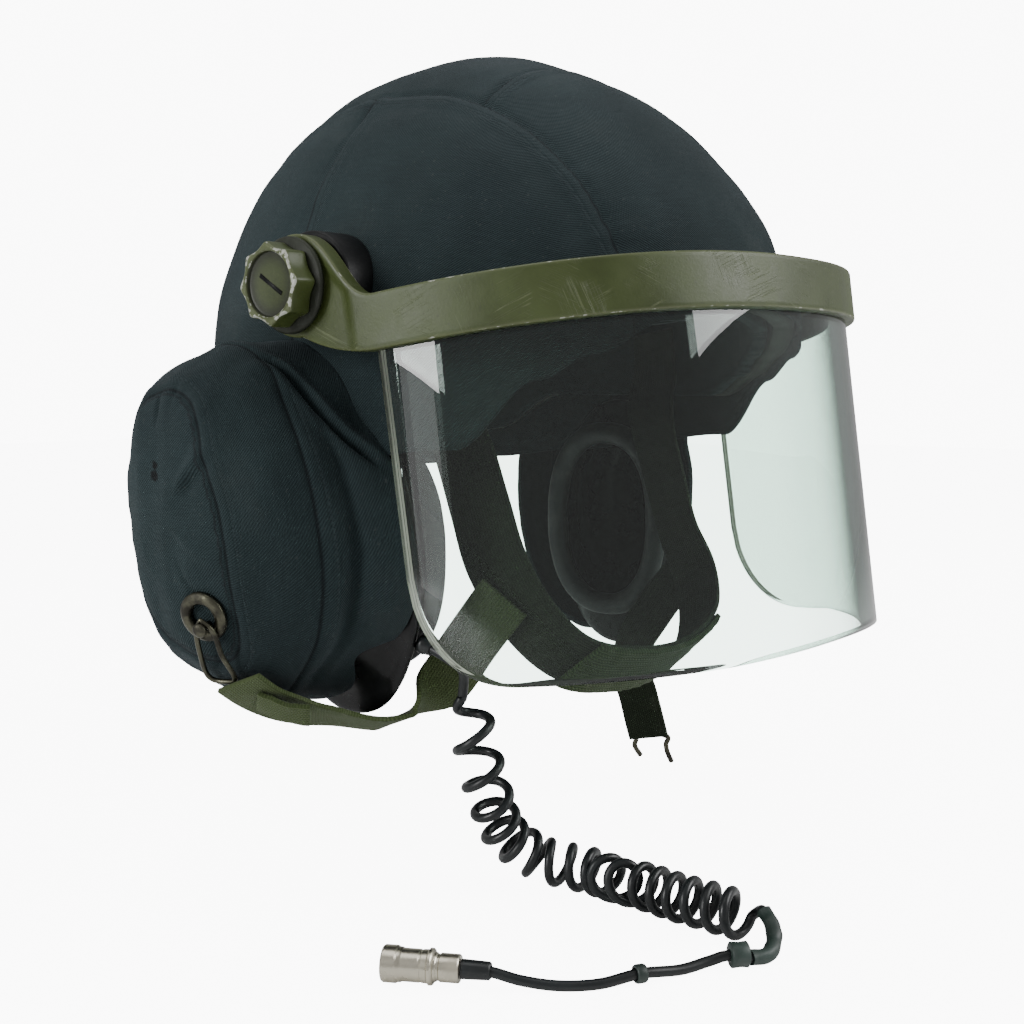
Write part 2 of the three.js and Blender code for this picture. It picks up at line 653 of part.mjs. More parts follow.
const HOOK_PRONGS = [
  [0, -10.5, -27],
  [0, -11, -17],
  [0, -10, -10.5],
  [0, -10, -3],
  [0, 10, -3],
  [0, 10, -10.5],
  [0, 11, -17],
  [0, 10.5, -27],
];
const prongPoints = HOOK_PRONGS.map(([x, y, z]) => {
  const tip = Math.max(-(z + 17), 0) * 0.5;
  return new THREE.Vector3(96.3 + x + tip, -20 + y * 0.95, -224 + z * 0.62);
});
addPiece("wire_hook_left", wireLoop(prongPoints, false, 40), FINISH.wire);

// Free cord: gland, short lead, curly length, and the straight length to the connector
const LAY_Z = FLOOR_Z + CORD_DIAMETER / 2;
const COIL_OUTER = COIL_RADIUS + CORD_DIAMETER / 2;
const COIL_LAY_Z = FLOOR_Z + COIL_OUTER;
const COIL_AXIS = [
  [-92, -46, -166],
  [-90, -51, -185],
  [-86, -54, -206],
  [-75, -54, -228],
  [-62, -62, -242],
  [-55, -78, COIL_LAY_Z],
  [-53, -98, COIL_LAY_Z],
  [-56, -120, COIL_LAY_Z],
  [-58, -142, COIL_LAY_Z],
  [-58, -166, COIL_LAY_Z],
];
const GLAND = { from: [-98, -28.9, -145.9], to: [-98, -35.2, -148] };
const LEAD = [
  [-98, -35.6, -148.1],
  [-97.5, -43, -151],
  [-95, -49, -156],
  [-92, -49.2, -164.2],
];
const SLEEVE_RADIUS = 3.2;
const SLEEVE = [
  [-53, -168.6, -244],
  [-57, -174.5, -247],
  [-63, -178.5, -250.5],
  [-71, -180, FLOOR_Z + SLEEVE_RADIUS + 0.2],
  [-77.5, -176.5, FLOOR_Z + SLEEVE_RADIUS + 0.2],
];
const SLEEVE_RING = { from: [-78.4, -175.6, FLOOR_Z + 5], to: [-83.8, -170.4, FLOOR_Z + 5] };
const TIE_LIFT = 1.6; // the cord is held off the surface by the tie round it
const TAIL = [
  [-84.1, -170.1, LAY_Z + 2.7],
  [-90, -165, LAY_Z + 1],
  [-101, -159.5, LAY_Z],
  [-116, -151.6, LAY_Z + TIE_LIFT],
  [-129.4, -143, LAY_Z],
  [-139.8, -132.6, LAY_Z],
  [-147.5, -121.5, LAY_Z + 1.5],
  [-153.6, -112.6, LAY_Z + 4.4],
];
const TIE = { at: [-116, -151.6, FLOOR_Z + 3.7], way: [-13.5, 8.2, 0], radius: 3.6, hole: 2.5, width: 4 };
const BOOT = { from: [-154, -111.9, FLOOR_Z + 7], to: [-159.2, -102.2, FLOOR_Z + 7] };
const CONNECTOR = { from: [-159.4, -101.9, FLOOR_Z + 7], to: [-173, -76.2, FLOOR_Z + 7] };
const curveOf = (points) =>
  new THREE.CatmullRomCurve3(points.map((p) => new THREE.Vector3(...p)), false, "centripetal");
const cordRod = (points, steps) => rod(curveOf(points), CORD_DIAMETER / 2, steps, 8);
addPiece("cord_coil", rod(curveOf(COIL_AXIS), COIL_OUTER, 34, 12), FINISH.rubber);
addPiece("cord_lead", cordRod(LEAD, 8), FINISH.rubber);
addPiece("cord_sleeve", rod(curveOf(SLEEVE), SLEEVE_RADIUS, 10, 10), FINISH.sleeve);
addPiece("cord_tail", cordRod(TAIL, 18), FINISH.rubber);

// A turned piece between two points
function turnedBetween(profile, from, to, sides) {
  const turned = new THREE.LatheGeometry(profile.map(([h, r]) => new THREE.Vector2(r, h)), sides);
  const [start, end] = [new THREE.Vector3(...from), new THREE.Vector3(...to)];
  const way = end.clone().sub(start).normalize();
  const turn = new THREE.Quaternion().setFromUnitVectors(new THREE.Vector3(0, 1, 0), way);
  return reshape(turned, (p) => p.clone().applyQuaternion(turn).add(start));
}

const glandProfile = [
  [0, 0],
  [0, 4.2],
  [2.5, 4.2],
  [6.3, 3],
  [6.3, 0],
];
const ringProfile = [
  [0, 0],
  [0, 4.6],
  [0.6, 5],
  [6.6, 5],
  [7.2, 4.4],
  [7.2, 0],
];
const bootProfile = [
  [0, 0],
  [0, 2.7],
  [11, 3.6],
  [11, 0],
];
const connectorProfile = [
  [0, 0],
  [0, 5.2],
  [9, 5.2],
  [10, 6.7],
  [11.5, 6.7],
  [12.5, 6.1],
  [24, 6.1],
  [24.5, 6.9],
  [29, 6.9],
  [29, 0],
];
const tieRing = new THREE.TorusGeometry((TIE.radius + TIE.hole) / 2, (TIE.radius - TIE.hole) / 2, 6, 16);
tieRing.scale(1, 1, TIE.width / (TIE.radius - TIE.hole));
const tieWay = new THREE.Vector3(...TIE.way).normalize();
const tieTurn = new THREE.Quaternion().setFromUnitVectors(new THREE.Vector3(0, 0, 1), tieWay);
const tieAt = new THREE.Vector3(...TIE.at);
addPiece("cord_tie", reshape(tieRing, (p) => p.clone().applyQuaternion(tieTurn).add(tieAt)), FINISH.sleeve);
addPiece("cord_gland", turnedBetween(glandProfile, GLAND.from, GLAND.to, 16), FINISH.rubber);
addPiece("cord_sleeve_ring", turnedBetween(ringProfile, SLEEVE_RING.from, SLEEVE_RING.to, 16), FINISH.sleeve);
addPiece("connector_boot", turnedBetween(bootProfile, BOOT.from, BOOT.to, 16), FINISH.rubber);
addPiece("connector", turnedBetween(connectorProfile, CONNECTOR.from, CONNECTOR.to, 24), FINISH.nickel);

export default helmet;
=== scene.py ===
import functools
import json
import math

import bmesh
import bpy
from mathutils import Matrix, Vector, noise


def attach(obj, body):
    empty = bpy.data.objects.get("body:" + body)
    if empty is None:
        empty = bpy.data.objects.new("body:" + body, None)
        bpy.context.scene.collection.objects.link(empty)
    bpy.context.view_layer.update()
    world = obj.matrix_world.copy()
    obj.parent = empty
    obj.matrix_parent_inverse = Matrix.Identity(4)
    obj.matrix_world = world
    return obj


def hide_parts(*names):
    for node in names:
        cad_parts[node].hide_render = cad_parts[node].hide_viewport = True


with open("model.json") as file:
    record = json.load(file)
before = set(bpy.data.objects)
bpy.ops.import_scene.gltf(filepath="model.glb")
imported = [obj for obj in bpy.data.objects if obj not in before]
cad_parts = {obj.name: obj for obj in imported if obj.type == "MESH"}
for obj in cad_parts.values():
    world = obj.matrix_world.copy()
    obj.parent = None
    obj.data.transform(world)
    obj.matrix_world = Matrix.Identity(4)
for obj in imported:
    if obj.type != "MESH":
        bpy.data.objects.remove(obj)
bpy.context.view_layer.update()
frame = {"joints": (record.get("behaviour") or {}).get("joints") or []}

# Places are in millimetres about the visor's pivot axis, as in the part's source
MM = 0.001
JOINTS = {joint["name"]: joint for joint in frame["joints"]}
PIVOT = Vector((0, JOINTS["visor_tilt"]["pos_m"][1], JOINTS["visor_tilt"]["pos_m"][2]))
FLOOR_Z = -256.0

CAMERA = {"place": (-520.6, -411.5, -36.9), "target": (-0.2, 0.0, -141.0), "lens": 48.39, "shift": 0.0827}

DOME = {"half_width": 122.0, "front": 148.0, "back": 122.0, "height": 133.5, "widest": -23.5}
CROWN_BEHIND = 17.0
PLAN_POWER = 2.26
SIDE_POWER = 1.88
SKIRT = {"drop": 80.0, "taper": 0.06}
RIM = [(0, -8), (24, -14), (38, -27), (48, -36), (60, -46), (105, -46), (125, -66), (148, -84), (180, -88)]
CLOTH_RIM = RIM[:3] + [(48, -37), (62, -64), (105, -76), (125, -80)] + RIM[7:]
STRIP_HALF = 66.0
SIDE_SEAM_Y = 22.0
CROSS_SEAM_Y = -36.0
CROSS_SEAM_LOW = 55.0
PUFF = 1.5

EAR_POWER = 2.3
# Millimetres of cloth from the middle of an ear cover's face to its mouth
EAR_LOFT = 105.0
# Metres of cloth for each radian round an ear cover, and for its loft
EAR_WEAVE = (0.06, 0.12)
EAR_ROWS = [
    {"out": 180.0, "y": 38.0, "z": -91.0, "length": 0.0, "height": 0.0},
    {"out": 178.6, "y": 38.0, "z": -91.0, "length": 15.0, "height": 27.0},
    {"out": 172.0, "y": 37.0, "z": -92.0, "length": 30.0, "height": 52.0},
    {"out": 159.0, "y": 35.0, "z": -95.0, "length": 41.0, "height": 66.0},
    {"out": 141.0, "y": 32.0, "z": -97.0, "length": 48.0, "height": 75.5},
    {"out": 127.0, "y": 27.0, "z": -98.0, "length": 55.0, "height": 77.5},
    {"out": 114.0, "y": 22.0, "z": -98.0, "length": 61.0, "height": 78.0},
]
FACE_LEAN = 0.06
LEAST_MOUTH = 108.0
CUP_ROWS = [
    {"out": 150.0, "y": 24.0, "z": -100.0, "length": 0.0, "height": 0.0},
    {"out": 149.0, "y": 24.0, "z": -101.0, "length": 15.0, "height": 25.0},
    {"out": 139.0, "y": 20.0, "z": -104.0, "length": 29.0, "height": 44.0},
    {"out": 124.0, "y": 17.0, "z": -107.0, "length": 32.0, "height": 49.0},
    {"out": 113.0, "y": 12.0, "z": -109.0, "length": 34.0, "height": 53.0},
    {"out": 107.0, "y": 9.0, "z": -111.0, "length": 38.0, "height": 59.1},
    {"out": 103.5, "y": 6.0, "z": -113.4, "length": 39.0, "height": 66.0},
    {"out": 93.0, "y": 5.0, "z": -110.0, "length": 34.0, "height": 47.0},
]
SEAL = {"out": 87.7, "y": 5.0, "z": -110.0, "length": 32.7, "height": 45.7, "radius": 5.0}

VISOR_TIP = 8.83
FRAME_BAND = {"half_width": 139.7, "reach": 149.6, "power": 2.47, "wall": 8.0, "top": -10.3, "bottom": -31.5}
LOBE_RADIUS = 20.0
VISOR = {
    "inset": 4.0, "wall": 8.0, "rear": -36.0, "top": -20.0, "low_rear": -162.0, "low_front": -167.4,
    "corner": 42.0,
}
KNOB = {"inner": 142.5, "height": 10.3, "radius": 16.6, "lobe": 1.1, "lobes": 8, "recess": 12.2}
BASE_DISC = {"radius": 22.0, "flat": 18.6, "face": 130.0}

CHIN_WIDTH = 28.0
CUP_WIDTH = 31.0
HOOK_WIDTH = 24.0
TAIL_WIDTH = 13.0
WEBBING = 2.2


def place(x, y, z):
    """A point given about the pivot axis, in the row frame."""
    return Vector((x, y, z)) * MM + PIVOT


def power(value, exponent):
    return math.copysign(max(abs(value), 1e-9) ** exponent, value)


def smooth(low, high, value):
    share = min(max((value - low) / (high - low), 0.0), 1.0)
    return share * share * (3 - 2 * share)


def table_at(rows, value):
    for (a, low), (b, high) in zip(rows, rows[1:]):
        if value <= b:
            break
    return low + (high - low) * smooth(a, b, value)


def ripple(point, size, depth, seed=0.0):
    """Soft uneven waves of a given size, in millimetres."""
    return depth * noise.noise(Vector(point) / size + Vector((seed, seed * 1.7, -seed)))


# Mesh helpers


def piece(name, bm, material, body="helmet", own_node=True, sharp=0):
    """Makes a finished piece from a bmesh whose points are about the pivot axis, in millimetres.

    It takes the place of the CAD node of its name, unless it has no node of its own.
    """
    for vertex in bm.verts:
        vertex.co = vertex.co * MM + PIVOT
    mesh = bpy.data.meshes.new(name)
    bm.to_mesh(mesh)
    bm.free()
    thing = bpy.data.objects.new(name, mesh)
    bpy.context.scene.collection.objects.link(thing)
    mesh.shade_smooth()
    if sharp:
        mesh.set_sharp_from_angle(angle=math.radians(sharp))
    for entry in material if isinstance(material, (list, tuple)) else [material]:
        mesh.materials.append(entry)
    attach(thing, body)
    if own_node:
        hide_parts(name)
    return thing


def outward(bm):
    bmesh.ops.recalc_face_normals(bm, faces=bm.faces)
    return bm


def modifier(thing, kind, name, **values):
    added = thing.modifiers.new(name, kind)
    for key, value in values.items():
        setattr(added, key, value)
    return added


def rounded(thing, width, segments=2, angle=40):
    return modifier(
        thing, "BEVEL", "edges", width=width * MM, segments=segments, limit_method="ANGLE",
        angle_limit=math.radians(angle), harden_normals=False,
    )


def wall(thing, thickness, inward=-1, rim=0):
    return modifier(
        thing, "SOLIDIFY", "wall", thickness=thickness * MM, offset=inward, use_even_offset=True,
        material_offset_rim=rim,
    )


def sheet_grid(across, along):
    """A square sheet whose points run from 0 to 1 each way."""
    bm = bmesh.new()
    bmesh.ops.create_grid(bm, x_segments=across, y_segments=along, size=0.5)
    bmesh.ops.translate(bm, verts=bm.verts, vec=(0.5, 0.5, 0))
    return bm


def cap(around, down):
    """The upper half of a ball, whose points a rule then places by angle and share of the way down."""
    bm = bmesh.new()
    bmesh.ops.create_uvsphere(bm, u_segments=around, v_segments=down * 2, radius=1)
    lower = [v for v in bm.verts if v.co.z < -1e-4]
    bmesh.ops.delete(bm, geom=lower, context="VERTS")
    return bm


def cap_place(vertex):
    """The angle from the front and the share of the way down to the edge."""
    x, y, z = vertex.co
    down = round(math.acos(min(max(z, 0.0), 1.0)) / (math.pi / 2), 5)
    return round(math.atan2(x, -y), 5), down


def store_uv(bm, values, period=None):
    """Keeps a pair of lengths in metres for each vertex as the piece's UV map.

    Where the first length starts again after a full turn, the last faces go on past its period.
    """
    layer = bm.loops.layers.uv.new("weave")
    for face in bm.faces:
        pairs = [values[loop.vert.index] for loop in face.loops]
        most = max(pair[0] for pair in pairs)
        for loop, (u, v) in zip(face.loops, pairs):
            if period and most - u > period / 2:
                u += period
            loop[layer].uv = (u, v)


def store_panel_uv(bm):
    """The cover's cloth runs fore and aft on the middle panel, and up and down on the side panels."""
    layer = bm.loops.layers.uv.new("weave")
    for face in bm.faces:
        on_top = abs(face.calc_center_median().x) < STRIP_HALF
        for loop in face.loops:
            x, y, z = loop.vert.co
            rise = z - DOME["widest"]
            round_top = math.atan2(rise, CROWN_BEHIND - y) * 0.135
            round_side = math.atan2(rise, abs(x)) * 0.125
            loop[layer].uv = (x * MM, round_top) if on_top else (y * MM, round_side)


def store_value(bm, name, values):
    layer = bm.verts.layers.float.new(name)
    bm.verts.ensure_lookup_table()
    for vertex in bm.verts:
        vertex[layer] = values[vertex.index]


# Dome


def dome_reach(z):
    if z < DOME["widest"]:
        return 1 - SKIRT["taper"] * ((DOME["widest"] - z) / SKIRT["drop"]) ** 2
    rise = min((z - DOME["widest"]) / DOME["height"], 1.0)
    return (1 - rise**SIDE_POWER) ** (1 / SIDE_POWER)


def dome_half_width(y, z):
    reach = dome_reach(z)
    along = y - CROWN_BEHIND
    length = (DOME["front"] if along < 0 else DOME["back"]) * reach
    share = min(abs(along) / length, 0.98)
    return DOME["half_width"] * reach * (1 - share**PLAN_POWER) ** (1 / PLAN_POWER)


@functools.lru_cache(maxsize=None)
def rim_at(angle, cloth=False):
    """The height of the dome's edge. The cloth reaches lower than the shell beside the ears."""
    rows = CLOTH_RIM if cloth else RIM
    return table_at(rows, abs(math.degrees(math.atan2(math.sin(angle), math.cos(angle)))))


def dome_surface(angle, down, lift=0.0):
    quarter = math.pi / 2
    rim = rim_at(angle, lift == 0) + lift
    rise = (rim - DOME["widest"]) / DOME["height"]
    rim_phi = math.asin(rise ** (SIDE_POWER / 2)) if rise > 0 else (rim - DOME["widest"]) / SKIRT["drop"]
    phi = quarter - (quarter - rim_phi) * down
    above = DOME["height"] * math.sin(max(phi, 0)) ** (2 / SIDE_POWER)
    z = DOME["widest"] + (above if phi > 0 else phi * SKIRT["drop"])
    reach = 0.0 if down == 0 else dome_reach(z)
    bend = 2 / PLAN_POWER
    length = DOME["front"] if math.cos(angle) > 0 else DOME["back"]
    return Vector((
        DOME["half_width"] * reach * power(math.sin(angle), bend),
        CROWN_BEHIND - length * reach * power(math.cos(angle), bend),
        z,
    ))


def dome_normal(angle, down, lift=0.0):
    if down < 0.02:
        return Vector((0, 0, 1))
    step = 0.01
    round_way = dome_surface(angle + step, down, lift) - dome_surface(angle - step, down, lift)
    down_way = dome_surface(angle, min(down + step, 1.0), lift) - dome_surface(angle, down - step, lift)
    normal = round_way.cross(down_way).normalized()
    middle = Vector((0, CROWN_BEHIND, -DOME["height"]))
    return normal if normal.dot(dome_surface(angle, down, lift) - middle) > 0 else -normal


def dome_layer(around, down_rows, inset, lift=0.0, relief=None):
    """A sheet over the dome. The relief rule says how far each point stands out from the layer."""
    bm = cap(around, down_rows)
    for vertex in bm.verts:
        angle, down = cap_place(vertex)
        surface = dome_surface(angle, down, lift)
        stand = relief(surface, down) if relief else 0.0
        vertex.co = surface + dome_normal(angle, down, lift) * (stand - inset)
    store_panel_uv(bm)
    return bm


SEAM_FOLD = {"width": 5.5, "height": 0.7, "groove": 1.1}


def seam_relief(away):
    """Across a seam: a narrow groove, and on one side the folded cloth under the topstitching."""
    fold = smooth(0.2, 1.6, away) * (1 - smooth(SEAM_FOLD["width"], SEAM_FOLD["width"] + 2.5, away))
    groove = math.exp(-((away / 1.4) ** 2))
    return SEAM_FOLD["height"] * fold - SEAM_FOLD["groove"] * groove


def cover_relief(p, down):
    side = abs(p.x)
    seams = [side - STRIP_HALF]
    if side > STRIP_HALF:
        seams.append(SIDE_SEAM_Y - p.y)
    elif p.z > CROSS_SEAM_LOW:
        seams.append(CROSS_SEAM_Y - p.y)
    swell = PUFF * (1 - math.exp(-((min(abs(s) for s in seams) / 15) ** 2)))
    stand = swell - PUFF + sum(seam_relief(s) for s in seams)
    stand += ripple((p.x, p.y, p.z), 48, 1.7, 3.1) + ripple((p.x, p.y, p.z), 19, 0.5, 8.4)
    stand += ripple((p.x * 0.35, p.y, p.z * 1.6), 11, 0.45, 1.3) * smooth(25, 0, min(abs(s) for s in seams))
    hem = smooth(0.955, 0.97, down) * 0.9
    return min(stand + hem, 1.4)


def lining_relief(p, down):
    channel = math.cos(math.atan2(p.x, -(p.y - CROWN_BEHIND)) * 9)
    return -1.4 * (1 - smooth(0.86, 1.0, channel)) * smooth(0.1, 0.3, down)


# Ear covers and cups


ROW_CACHE = {}


def row_at(rows, share):
    """The measures of one oval of a lofted shape, between its given rows."""
    key = (id(rows), share)
    if key not in ROW_CACHE:
        ROW_CACHE[key] = row_between(rows, share)
    return ROW_CACHE[key]


def row_between(rows, share):
    spot = min(max(share, 0.0), 1.0) * (len(rows) - 1)
    i = min(int(spot), len(rows) - 2)
    t = spot - i
    found = {}
    for key in rows[0]:
        a, b, c, d = (rows[k][key] for k in (max(i - 1, 0), i, i + 1, min(i + 2, len(rows) - 1)))
        curve = (
            (2 * t**3 - 3 * t**2 + 1) * b + (t**3 - 2 * t**2 + t) * (c - a) / 2
            + (3 * t**2 - 2 * t**3) * c + (t**3 - t**2) * (d - b) / 2
        )
        found[key] = b + (c - b) * t if i == 0 else curve
    return found


def oval_place(rows, share, angle, inset=0.0):
    row = row_at(rows, share)
    bend = 2 / EAR_POWER
    length = max(row["length"] - inset, 0) if share > 0 else 0
    height = max(row["height"] - inset, 0) if share > 0 else 0
    y = row["y"] + length * power(math.cos(angle), bend)
    z = row["z"] + height * power(math.sin(angle), bend)
    return Vector((row["out"] - inset, y, z))


# Where the mouth is drawn in at the front, above and below: way round, width, and share
MOUTH_TRIM = [(232, 24, 0.15), (138, 26, 0.16)]


@functools.lru_cache(maxsize=None)
def mouth_trim(angle):
    around = math.degrees(angle) % 360
    return sum(share * bump_at(around, way, wide) for way, wide, share in MOUTH_TRIM)


@functools.lru_cache(maxsize=None)
def mouth_out(angle, inset):
    mouth = oval_place(EAR_ROWS, 1, angle, inset)
    row = EAR_ROWS[-1]
    trim = mouth_trim(angle)
    mouth.y += (row["y"] - mouth.y) * trim
    mouth.z += (row["z"] - mouth.z) * trim
    return max(dome_half_width(mouth.y, mouth.z) + 0.6, LEAST_MOUTH)


def ear_cover_place(share, angle, inset=0.0):
    p = oval_place(EAR_ROWS, share, angle, inset)
    out = mouth_out(angle, inset)
    draw = smooth(0.45, 1, share)
    trim = mouth_trim(angle) * smooth(0.5, 1, share)
    row = row_at(EAR_ROWS, share)
    p.y += (row["y"] - p.y) * trim
    p.z += (row["z"] - p.z) * trim
    p.x += (1 - share) * FACE_LEAN * (p.z - EAR_ROWS[0]["z"]) + inset * draw
    p.x += (out - EAR_ROWS[-1]["out"]) * draw
    return p


EAR_SEAMS = ("seam_1", "seam_2")
SEAM_1 = 0.335
SEAM_2 = 0.66
# How the two seams leave a plain oval: way round in degrees, width, and share of the loft
SEAM_1_SHIFT = [(152, 27, -0.048), (238, 27, 0.105)]
SEAM_2_SHIFT = [(250, 40, 0.02), (150, 35, -0.03)]


def bump_at(around, way, wide):
    off = (around - way + 180) % 360 - 180
    return math.exp(-((off / wide) ** 2))


@functools.lru_cache(maxsize=None)
def seam_shares(angle):
    around = math.degrees(angle) % 360
    first = SEAM_1 + sum(shift * bump_at(around, way, wide) for way, wide, shift in SEAM_1_SHIFT)
    second = SEAM_2 + sum(shift * bump_at(around, way, wide) for way, wide, shift in SEAM_2_SHIFT)
    return first, second


def ear_relief(share, angle, p, side):
    """Seams, gathers beside them and soft folds, in millimetres along the outward way."""
    around = math.degrees(angle) % 360
    shares = [(share - seam) * EAR_LOFT for seam in seam_shares(angle)]
    stand = sum(0.6 * seam_relief(s) for s in shares)
    near = min(abs(s) for s in shares)
    gathers = ripple((math.cos(angle) * 3.1, math.sin(angle) * 3.1, share * 3 + side), 0.6, 0.7, 5.0)
    stand += gathers * (1 - smooth(2, 14, near))
    stand += ripple((p.x, p.y * 1.3, p.z * 0.5), 20, 2.0, 2.0 + side)
    stand += ripple((p.x, p.y, p.z), 8, 0.35, 6.0 + side)
    for way, wide, low, high, depth in EAR_FOLDS:
        within = smooth(low, low + 0.1, share) * (1 - smooth(high - 0.1, high, share))
        stand += depth * bump_at(around, way, wide) * within
    for way, spread, place_share, narrow, depth in EAR_VALLEYS:
        stand += depth * bump_at(around, way, spread) * math.exp(-(((share - place_share) / narrow) ** 2))
    for start, first, end, last, narrow, depth in EAR_CREASES:
        t = (around - start) / (end - start)
        within = smooth(-0.25, 0.05, t) * (1 - smooth(0.9, 1.15, t))
        stand += depth * math.exp(-(((share - first - (last - first) * t) / narrow) ** 2)) * within
    return stand - 0.8


# Creases from one place to another: way round and share at each end, width, and height
EAR_CREASES = [
    (118, 0.70, 158, 0.905, 0.022, -4.6), (118, 0.75, 158, 0.96, 0.04, 2.2),
    (120, 0.64, 160, 0.83, 0.04, 1.2),
]
# Folds that run from ring to ring: way round, width in degrees, from and to in the loft, and height
EAR_FOLDS = [
    (196, 6, 0.05, 0.36, 1.2), (157, 6, 0.12, 0.34, -2.2), (148, 6, 0.1, 0.34, 1.4),
    (245, 6, 0.5, 0.66, -1.6), (257, 6, 0.46, 0.68, 1.5), (282, 7, 0.4, 0.68, -1.5),
    (232, 5, 0.1, 0.4, -0.9), (132, 6, 0.46, 0.62, -0.8),
    (83, 2.4, 0.2, 0.36, -1.6), (97, 2.6, 0.26, 0.4, -1.2),
]
# Folds that run round the case: way round, spread, place and width in the loft, and height
EAR_VALLEYS = [
    (188, 42, 0.765, 0.036, -4.8), (185, 45, 0.87, 0.05, 1.4), 
    (215, 26, 0.86, 0.05, -1.6), (262, 24, 0.5, 0.04, 0.9), (40, 30, 0.8, 0.05, -1.8),
    (330, 30, 0.82, 0.05, -1.8),
]


def ear_sheet(rows_place, around, down_rows, side, relief=None):
    """A pouch over one ear, from the middle of its outer face to its mouth. Side is -1 on the right."""
    bm = cap(around, down_rows)
    bm.verts.index_update()
    weave, seams = {}, ({}, {})
    step = 0.012
    for vertex in bm.verts:
        way, share = cap_place(vertex)
        p = rows_place(share, way)
        if relief:
            if share < 0.02:
                normal = Vector((1, 0, 0))
            else:
                round_way = rows_place(share, way + step) - rows_place(share, way - step)
                out_way = rows_place(min(share + step, 1), way) - rows_place(share - step, way)
                normal = round_way.cross(out_way).normalized()
                if normal.dot(p - Vector((90, EAR_ROWS[0]["y"], EAR_ROWS[0]["z"]))) < 0:
                    normal.negate()
            p = p + normal * relief(share, way, p, side)
        on_face = share < seam_shares(way)[0] - 0.02
        weave[vertex.index] = (p.y * MM, p.z * MM) if on_face else (way * EAR_WEAVE[0], share * EAR_WEAVE[1])
        for away, seam in zip(seams, seam_shares(way)):
            away[vertex.index] = (share - seam) * EAR_LOFT * MM
        vertex.co = Vector((side * p.x, p.y, p.z))
    store_uv(bm, weave, 2 * math.pi * EAR_WEAVE[0])
    for name, away in zip(EAR_SEAMS, seams):
        store_value(bm, name, away)
    return bm


# Visor and its frame


def tip(p):
    """From the plane of the visor's frame to the row's axes."""
    turn = Matrix.Rotation(-math.radians(VISOR_TIP), 3, "X")
    return turn @ Vector(p)


def band_place(angle, offset=0.0):
    """A point of the frame's outline, by angle from the front, and the way out from it."""
    bend = 2 / FRAME_BAND["power"]

    def at(value):
        return Vector((
            (FRAME_BAND["half_width"] - offset) * power(math.sin(value), bend),
            -(FRAME_BAND["reach"] - offset) * power(math.cos(value), bend),
            0,
        ))

    return at(angle)


def band_angle_at(y, offset=0.0):
    """The angle where the outline passes a place on Y."""
    reach = FRAME_BAND["reach"] - offset
    return math.acos(min(max(-y / reach, 0.0), 1.0) ** (FRAME_BAND["power"] / 2))


def bezier_rows(points, steps=60):
    """A list of (place, height) rows along a curve given by its four points."""
    rows = []
    for k in range(steps + 1):
        t = k / steps
        weights = ((1 - t) ** 3, 3 * (1 - t) ** 2 * t, 3 * (1 - t) * t * t, t**3)
        rows.append(tuple(sum(w * point[axis] for w, point in zip(weights, points)) for axis in (0, 1)))
    return sorted(rows)


def height_in(rows, y):
    for (a, low), (b, high) in zip(rows, rows[1:]):
        if y <= b:
            return low + (high - low) * (y - a) / max(b - a, 1e-9)
    return rows[-1][1]


LOBE_TOP = bezier_rows([(-6.2, 19.0), (-24, 15), (-24, FRAME_BAND["top"]), (-40, FRAME_BAND["top"])])
LOBE_BOTTOM = bezier_rows([
    (-40, FRAME_BAND["bottom"]), (-26, FRAME_BAND["bottom"]), (-12, -27), (0, -LOBE_RADIUS),
])


def lobe_height(y):
    """The top and bottom of the frame's outline, seen from the side."""
    half = math.sqrt(max(LOBE_RADIUS**2 - y * y, 0.0))
    high = half if y > -6.2 else height_in(LOBE_TOP, max(y, -40))
    low = -half if y > 0 else height_in(LOBE_BOTTOM, max(y, -40))
    return high, low


FRAME_REAR = LOBE_RADIUS


def frame_station(u):
    """Along the frame: 0 at the end of the right lobe, 1 at the end of the left one."""
    side = -1 if u < 0.5 else 1
    away = abs(u - 0.5) * 2
    lobe_share = 0.36
    if away > 1 - lobe_share:
        t = (away - (1 - lobe_share)) / lobe_share
        y = -44 + (FRAME_REAR + 44) * math.sin(t * math.pi / 2)
        if y >= 0:
            return Vector((side * FRAME_BAND["half_width"], y, 0)), y
        return band_place(side * band_angle_at(y)), y
    last = band_angle_at(-44)
    p = band_place(side * last * away / (1 - lobe_share))
    return p, p.y


RIDGE = {"y": -27.5, "above": -8.0, "slant": 0.78, "half": 1.6, "height": 1.3}


# Radius of the corners of the frame's section
FRAME_ROUND = 0.9


def frame_section():
    """Rows round the section: (share of the height, way in from the face, way back from the corner, wear)."""
    r, wall_at = FRAME_ROUND, FRAME_BAND["wall"]
    face = [(k / 14, 0.0, r, 0.0) for k in range(15)]
    face[0] = (0, 0.0, r, 0.6)
    face[-1] = (1, 0.0, r, 0.6)
    top = [(1, r * 0.3, r * 0.3, 1.0), (1, r, 0, 0.6)]
    top += [(1, r + (wall_at - 2 * r) * k / 4, 0, 0.0) for k in (1, 2, 3)]
    top += [(1, wall_at - r, 0, 0.6), (1, wall_at - r * 0.3, r * 0.3, 1.0)]
    inner = [(1 - k / 6, wall_at, r, 0.0) for k in range(7)]
    bottom = [(0, depth, back, edge) for _, depth, back, edge in reversed(top)]
    return face + top + inner + bottom


